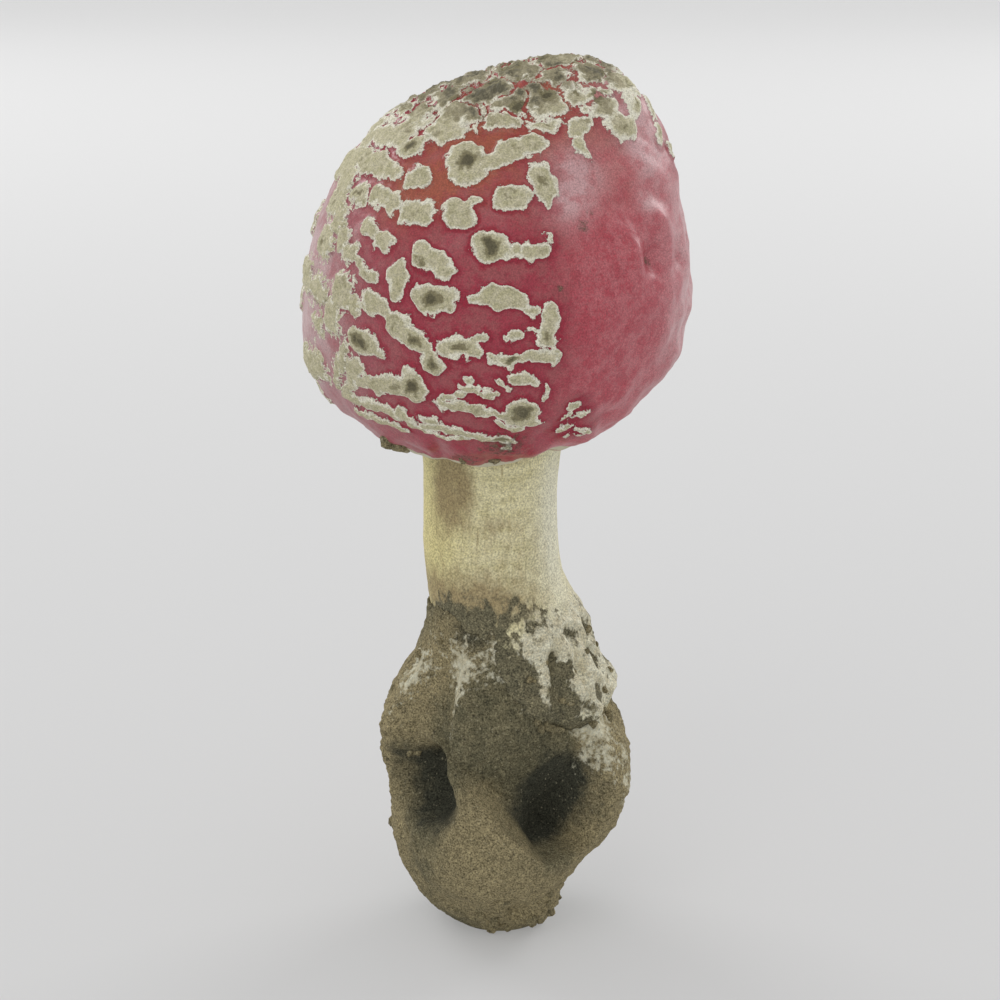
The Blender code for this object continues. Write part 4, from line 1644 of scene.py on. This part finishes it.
@dataclass
class Clod(Turned):
    """The clod of soil round the bulb, standing on a small flat foot."""

    outline: tuple[Place, ...] = (
        (12.4, 60.5, 0.2),
        (13.0, 56.0, 0.6),
        (14.2, 50.0, 1.3),
        (17.0, 44.0, 1.6),
        (20.0, 38.0, 2.1),
        (21.0, 32.0, 2.5),
        (20.6, 26.0, 2.8),
        (19.4, 19.0, 2.0),
        (17.0, 12.0, 0.8),
        (13.6, 6.0, 0.2),
        (10.6, 2.2, 0.8),
        (8.2, 0.0, 1.2),
    )
    forms: tuple[Form, ...] = (
        Form(-84, 33.0, 6.0, 5.0, -1.6),
        Form(-137, 28.5, 6.8, 5.2, -8.0, 5.0),
        Form(-112, 34.0, 3.4, 12.0, 1.6, 3.0),
        Form(-94, 15.0, 12.0, 5.6, 2.6, 4.0),
        Form(-28, 26.0, 4.5, 9.0, 1.6, 2.4),
        Form(-40, 53.0, 11.0, 10.0, -5.6, 2.6),
        Form(-40, 44.0, 11.0, 8.0, -1.5),
        Form(10, 54.0, 12.0, 10.0, -5.0, 2.6),
        Form(-155, 43.5, 3.0, 2.2, 1.1),
        Form(-172, 34.0, 5.0, 4.0, 0.6),
        Form(178, 27.5, 4.0, 2.0, -0.8),
        Form(150, 40.0, 6.0, 5.0, 1.4),
        Form(105, 24.0, 8.0, 6.0, -2.6, 3.0),
        Form(60, 34.0, 7.0, 5.0, 1.4),
        Form(75, 14.0, 7.0, 4.0, 1.2),
        Form(-15, 9.0, 9.0, 6.0, -2.2),
        Form(-62, 6.0, 4.0, 2.6, 1.0, 2.4),
        Form(135, 12.0, 6.0, 5.0, -1.8),
        Form(-125, 39.0, 2.2, 9.0, -1.9, 5.0, 0, 4.0),
        Form(-84, 22.0, 4.0, 2.2, 0.5),
        Form(-72, 6.0, 3.0, 2.2, 0.9, 3.0),
        Form(-48, 7.0, 2.6, 2.0, 0.9, 3.0),
        Form(-104, 4.0, 4.0, 1.6, 0.6),
        Form(-168, 46.0, 3.0, 2.0, 0.9, 3.0),
        Form(-160, 38.5, 3.0, 2.4, 0.7, 3.0),
        Form(-30, 42.0, 3.0, 2.2, 0.8, 3.0),
    )
    scoops: tuple[Scoop, ...] = (Scoop(-56, 18.6, 9.0, 44, 8, 27.0, 11.0, 0.8),)
    # Depths over which the hollows take painted shade.
    shade_depths: Span = (2.5, 12.0)
    middle: float = 2.0
    reach: float = 19.0
    rows: int = 246
    foot: float = 0.5
    mouth_foot: float = 50.0
    mouth_top: float = 60.5
    mouth_wave: float = 2.0
    cling: Span = (50.0, 57.0)
    mouth: Span = (55.0, 61.0)
    mouth_ragged: float = 4.0
    gap: float = 0.05
    tans: Rows = (
        (-98, 21, 9, 7, 0.7, 3),
        (-106, 28, 4, 5, 0.5, 3),
        (-96, 8, 16, 8, 0.6, 4),
        (-50, 8, 10, 7, 0.6, 3),
        (-18, 32, 8, 15, 1.1, 4),
        (-30, 18, 6, 6, 0.8),
        (-163, 18, 6, 12, 0.7),
        (-158, 42, 7, 8, 0.6),
        (-130, 54, 10, 6, 0.75),
        (90, 20, 25, 14, 0.5),
        (175, 40, 14, 8, 0.5),
        (120, 48, 14, 6, 0.5),
    )
    # Patches darkened mostly as painted shade in the hollows.
    dark_and_shade_patches: Rows = (
        (-50, 29, 6, 8, 0.5, 3),
        (-137, 27.5, 7.5, 6, 0.9, 3),
        (-116, 56, 6, 3, 0.6),
        (-152, 34, 4, 3, 0.4),
        (-72, 42, 6, 6, 0.3),
    )
    moulds: Rows = (
        (-36, 41, 3.0, 3.0, 0.75),
        (-36, 34, 1.8, 2.2, 0.3),
        (-24, 45, 4, 4, 0.5),
        (-24, 36, 5, 10, 0.30, 3),
        (-18, 24, 4, 8, 0.3, 3),
        (-162, 44, 4, 7, 0.32),
        (-122, 50, 3, 3, 0.40),
        (-100, 52, 5, 4, 0.30),
        (-119, 43, 1.0, 8, 0.4),
        (-135, 53, 8, 5, 0.3),
        (-155, 48, 3, 3, 0.3),
        (-78, 56, 6, 5, 0.45, 3),
        (-66, 50, 5, 6, 0.9, 3),
        (-60, 45, 2.5, 2, 0.7, 3),
        (-40, 52, 12, 8, 0.5, 3),
        (10, 54, 20, 8, 0.6, 3),
    )
    lumpy: Rows = (
        (-40, 44, 9, 9, 0.8),
        (-165, 40, 7, 12, 0.6),
        (-62, 6, 12, 5, 1.1, 3),
        (-20, 22, 6, 12, 0.3),
        (140, 30, 25, 20, 0.5),
        (50, 30, 18, 20, 0.4),
    )

    def build(self, stalk: Stalk, flesh: bpy.types.Mesh) -> bpy.types.Mesh:
        """Make the clod with its pocket for the bulb, and store the masks of its finish.

        Args:
            stalk: The stalk that the neck clings to.
            flesh: The stalk's mesh.

        Returns:
            The clod's mesh.
        """
        mesh = self.turn_outline("soil")
        points = positions(mesh)
        foot = points[:, 2] < self.foot
        settled = points[foot]
        settled[:, 0] += self.shift(settled[:, 2])
        points[:, 0] += self.shift(points[:, 2])
        push = self.push(points) + self.crumble(points)
        push += self.scooped(points)
        points += self.sideways(points) * push[:, None]
        turn = np.arctan2(points[:, 1], points[:, 0])
        neck = np.maximum(0, points[:, 2] - self.mouth_foot) / (self.mouth_top - self.mouth_foot)
        points[:, 2] += self.mouth_wave * neck * ripple(turn, 3, 7, 0.8)
        points = self.wrap_neck(points, stalk)
        points[foot] = settled
        set_positions(mesh, points)
        mesh = self.hollow(mesh, flesh)
        points = positions(mesh)
        for name, rows in (("tan", self.tans), ("mould", self.moulds)):
            store(mesh, name, self.patch(rows, points))
        # The hollows take painted shade, darker where they are deeper.
        sunk = smooth_step(-self.scooped(points), *self.shade_depths)
        store(mesh, "dark", np.clip(self.patch(self.dark_and_shade_patches, points) + sunk, 0, 1))
        return mesh

    def scooped(self, points: np.ndarray) -> np.ndarray:
        """Push of the scoops, which is inward, at points."""
        turn = self.azimuth(points)
        return sum(scoop.at(turn, points[:, 2], self.reach) for scoop in self.scoops)

    def crumble(self, points: np.ndarray) -> np.ndarray:
        """Roughen the soil with broad swells, small crumbs, and lumps in the lumpy patches.

        Args:
            points: Points in millimetres.

        Returns:
            The push at each point.
        """
        swells = 0.45 * Relief(6.0, 17.0, 2).at(points)
        crumbs = 0.26 * Relief(1.7, 27.0, 4).at(points) + 0.14 * Relief(0.7, 23.0).at(points)
        lumps = 0.9 * Relief(5.5, 37.0).lumps(points) + 0.35 * Relief(2.2, 47.0).lumps(points)
        return swells + crumbs + self.patch(self.lumpy, points) * (lumps - 0.3)

    def wrap_neck(self, points: np.ndarray, stalk: Stalk) -> np.ndarray:
        """Thin the neck out upwards over the stalk, so that its mouth ends in a ragged film.

        Args:
            points: Points of the clod in millimetres.
            stalk: The stalk inside it.

        Returns:
            The moved points.
        """
        height = points[:, 2]
        radius, shift = stalk.radius(height), stalk.shift(height)
        axis = np.column_stack((shift, np.zeros(len(points)), height))
        away = points - axis
        length = np.maximum(np.hypot(away[:, 0], away[:, 1]), 1e-6)
        up = smooth_step(height, *self.cling)
        level = height + self.mouth_ragged * Relief(9.0, 71.0, 2).at(points)
        film = radius + 0.9 - 1.5 * smooth_step(level, *self.mouth) + 0.5 * Relief(2.2, 41.0, 3).at(points)
        share = up * (length > 0.5 * radius)
        wanted = length + share * (np.minimum(length, film) - length)
        return axis + away * (wanted / length)[:, None]

    def hollow(self, mesh: bpy.types.Mesh, flesh: bpy.types.Mesh) -> bpy.types.Mesh:
        """Cut the bulb's place out of the clod: the stalk, grown by the gap between them.

        Args:
            mesh: The clod's mesh.
            flesh: The stalk's mesh.

        Returns:
            The clod's new mesh.
        """
        bm = bmesh.new()
        bm.from_mesh(flesh)
        for vertex in bm.verts:
            vertex.co += vertex.normal * self.gap * MM
        cutter = bpy.data.objects.new("bulb_place", mesh_of("bulb_place", bm))
        clod = bpy.data.objects.new("clod_blank", mesh)
        for item in (cutter, clod):
            bpy.context.scene.collection.objects.link(item)
        cut = clod.modifiers.new("Place", "BOOLEAN")
        cut.operation, cut.solver, cut.object = "DIFFERENCE", "MANIFOLD", cutter
        bpy.context.view_layer.update()
        result = bpy.data.meshes.new_from_object(clod.evaluated_get(bpy.context.evaluated_depsgraph_get()))
        for item in (cutter, clod):
            bpy.data.objects.remove(item, do_unlink=True)
        result.name = "soil"
        result.materials.clear()
        result.shade_smooth()
        return result


# ---------------------------------------------------------------------------
# Crumbs
# ---------------------------------------------------------------------------


@dataclass(frozen=True)
class Scatter:
    """Where some of the crumbs lie.

    Attributes:
        piece: Name of the piece that they cling to.
        patch: Azimuth, height, half width and half height of their patch.
        count: How many there are.
        sizes: Smallest and largest half width of a crumb.
    """

    piece: str
    patch: tuple[float, float, float, float]
    count: int
    sizes: Span


@dataclass
class Crumbs:
    """Loose crumbs of soil on the stalk, the clod and the cap."""

    scatters: tuple[Scatter, ...] = (
        Scatter("stalk_flesh", (-30, 50.0, 35, 6.0), 14, (0.4, 0.9)),
        Scatter("soil_clod", (-35, 44.0, 28, 5.0), 20, (0.5, 1.1)),
        Scatter("soil_clod", (-160, 42.0, 25, 12.0), 12, (0.5, 1.1)),
        Scatter("soil_clod", (-55, 6.0, 45, 5.0), 26, (0.6, 1.7)),
        Scatter("soil_clod", (100, 30.0, 80, 25.0), 50, (0.5, 1.2)),
        Scatter("cap_skin", (-145, 89.0, 2.5, 1.0), 3, (1.4, 1.9)),
        Scatter("cap_skin", (-95, 88.0, 12, 1.2), 5, (0.4, 0.8)),
    )
    seed: int = 7
    sunk: float = 1.25

    def build(self, pieces: dict[str, bpy.types.Mesh]) -> bpy.types.Mesh:
        """Make every crumb, sunk a little into the piece that it clings to.

        Args:
            pieces: Mesh of each piece, by the piece's name.

        Returns:
            One mesh of all the crumbs.
        """
        chance = random.Random(self.seed)
        bm = bmesh.new()
        for scatter in self.scatters:
            mesh = pieces[scatter.piece]
            nearby = self.nearby(positions(mesh), scatter.patch)
            for index in chance.sample(nearby, min(scatter.count, len(nearby))):
                vertex, size = mesh.vertices[index], chance.uniform(*scatter.sizes)
                place = vertex.co + vertex.normal * size * (1 - self.sunk) * MM
                turn = Euler([chance.uniform(0, math.tau) for _ in range(3)]).to_matrix().to_4x4()
                stretch = Matrix.Diagonal((*[size * MM * chance.uniform(0.7, 1.2) for _ in range(3)], 1))
                matrix = Matrix.Translation(place) @ turn @ stretch
                bmesh.ops.create_icosphere(bm, subdivisions=2, radius=1.0, matrix=matrix)
        mesh = mesh_of("soil_crumbs", bm)
        points = positions(mesh)
        set_positions(mesh, points + 0.6 * Relief(1.3, 51.0).sway(points))
        store(mesh, "tan", np.full(len(points), 0.5))
        store(mesh, "mould", 0.25 * smooth_step(points[:, 2], 36, 46))
        return mesh

    @staticmethod
    def nearby(points: np.ndarray, patch: tuple[float, float, float, float]) -> list[int]:
        """Find the points inside a patch.

        Args:
            points: Points in millimetres.
            patch: Azimuth, height, half width and half height of the patch.

        Returns:
            Their indices, in the order of their places.
        """
        azimuth, height, half_width, half_height = patch
        turn = np.degrees(np.arctan2(points[:, 1], points[:, 0]))
        away = np.abs(turn_from(turn, azimuth))
        inside = (away < half_width) & (np.abs(points[:, 2] - height) < half_height)
        outer = np.hypot(points[:, 0], points[:, 1]) > 8.0
        found = np.flatnonzero(inside & outer)
        return found[np.lexsort(np.round(points[found], 2).T)].tolist()


# ---------------------------------------------------------------------------
# Studio
# ---------------------------------------------------------------------------


@dataclass
class Studio:
    """Pale floor with a rising back, soft light and the camera."""

    lens: float = 85.0
    tilt: float = 17.0
    distance: float = 0.3975
    aim: Place = (0.00135, 0.0, 0.0761)
    # Painted light falloff on the floor: darker near the camera, lighter far off.
    near_floor_shade: Colour = (0.39, 0.39, 0.39)
    far_floor_light: Colour = (0.50, 0.50, 0.50)
    floor_falloff: Span = (-0.5, 1.6)
    floor_half: float = 3.0
    back: float = 1.6
    bend: float = 0.8
    bend_steps: int = 16
    floor_glow: float = 0.25
    world: float = 0.61
    lights: tuple[tuple[str, Place, float, float], ...] = (
        ("left_back_light", (-1.0, 1.1, 0.9), 0.9, 9.0),
        ("right_back_light", (1.1, 1.1, 0.9), 0.9, 9.0),
        ("front_light", (-0.4, -1.0, 1.2), 0.9, 3.0),
    )

    def build(self) -> None:
        """Make the floor, the lights and the camera; colours are shown as the light makes them."""
        bpy.context.scene.view_settings.view_transform = "Standard"
        self.build_floor()
        self.build_camera()
        self.build_world()
        for name, place, size, power in self.lights:
            self.area(name, place, size, power)

    def build_floor(self) -> None:
        """A floor that bends up behind the mushroom in one sweep, with painted light falloff: darker near
        the camera, lighter far off.
        """
        bm = bmesh.new()
        line = [(-self.floor_half, 0.0), (self.back, 0.0)]
        for step in range(1, self.bend_steps + 1):
            angle = math.pi / 2 * step / self.bend_steps
            line.append((self.back + self.bend * math.sin(angle), self.bend * (1 - math.cos(angle))))
        line.append((self.back + self.bend, self.floor_half))
        verts = [bm.verts.new((-self.floor_half, y, z)) for y, z in line]
        edges = [bm.edges.new(pair) for pair in zip(verts, verts[1:])]
        swept = bmesh.ops.extrude_edge_only(bm, edges=edges)["geom"]
        moved = [part for part in swept if isinstance(part, bmesh.types.BMVert)]
        bmesh.ops.translate(bm, verts=moved, vec=(2 * self.floor_half, 0, 0))
        floor = bpy.data.objects.new("studio_floor", mesh_of("studio_floor", bm))
        bpy.context.scene.collection.objects.link(floor)
        made, board, shader = new_finish("studio_paper")
        # Painted light falloff: darker near the camera, lighter far off.
        along = board.add("ShaderNodeSeparateXYZ", {0: board.place()}).outputs[1]
        shift = board.window(board.times(along, MM), *self.floor_falloff)
        board.plug(board.blend(shift, self.near_floor_shade, self.far_floor_light), shader.inputs["Base Color"])
        shader.inputs["Roughness"].default_value = 0.9
        shader.inputs["Emission Color"].default_value = (1.0, 1.0, 1.0, 1.0)
        shader.inputs["Emission Strength"].default_value = self.floor_glow
        floor.data.materials.append(made)

    def build_camera(self) -> None:
        """The camera, looking slightly down at the front."""
        camera = bpy.data.objects.new("camera", bpy.data.cameras.new("camera"))
        camera.data.lens = self.lens
        rise = math.radians(self.tilt)
        back = Vector((0, -math.cos(rise), math.sin(rise))) * self.distance
        camera.location = Vector(self.aim) + back
        camera.rotation_euler = (math.pi / 2 - rise, 0, 0)
        bpy.context.scene.collection.objects.link(camera)
        bpy.context.scene.camera = camera

    def build_world(self) -> None:
        """Even white light from all round."""
        world = bpy.data.worlds.new("studio")
        world.use_nodes = True
        sky = world.node_tree.nodes["Background"]
        sky.inputs["Color"].default_value = (1.0, 1.0, 1.0, 1.0)
        sky.inputs["Strength"].default_value = self.world
        bpy.context.scene.world = world

    def area(self, name: str, place: Place, size: float, power: float) -> None:
        """Add a large square light that faces the mushroom's middle.

        Args:
            name: The light's name.
            place: Where it stands, in metres.
            size: Its side in metres.
            power: Its power in watts.
        """
        light = bpy.data.lights.new(name, "AREA")
        light.size = size
        light.energy = power
        lamp = bpy.data.objects.new(name, light)
        lamp.location = place
        lamp.rotation_euler = (Vector(self.aim) - Vector(place)).to_track_quat("-Z", "Y").to_euler()
        bpy.context.scene.collection.objects.link(lamp)


def main() -> None:
    """Build each sub-assembly in order and report it."""
    logging.basicConfig(level=logging.INFO, format="%(message)s")
    effects = Effects(Earth())
    Studio().build()
    cap = show("cap_skin", Cap().build(Warts()), "cap")
    cap.data.materials.append(CapFinish().build(effects))
    shape = Stalk()
    stalk = show("stalk_flesh", shape.build(), "stalk")
    stalk.data.materials.append(StalkFinish().build(effects))
    clod = show("soil_clod", Clod().build(shape, stalk.data), "soil")
    soil = SoilFinish().build(effects)
    clod.data.materials.append(soil)
    pieces = {piece.name: piece.data for piece in (cap, stalk, clod)}
    crumbs = show("soil_crumbs", Crumbs().build(pieces))
    crumbs.data.materials.append(soil)


if __name__ == "__main__":
    main()
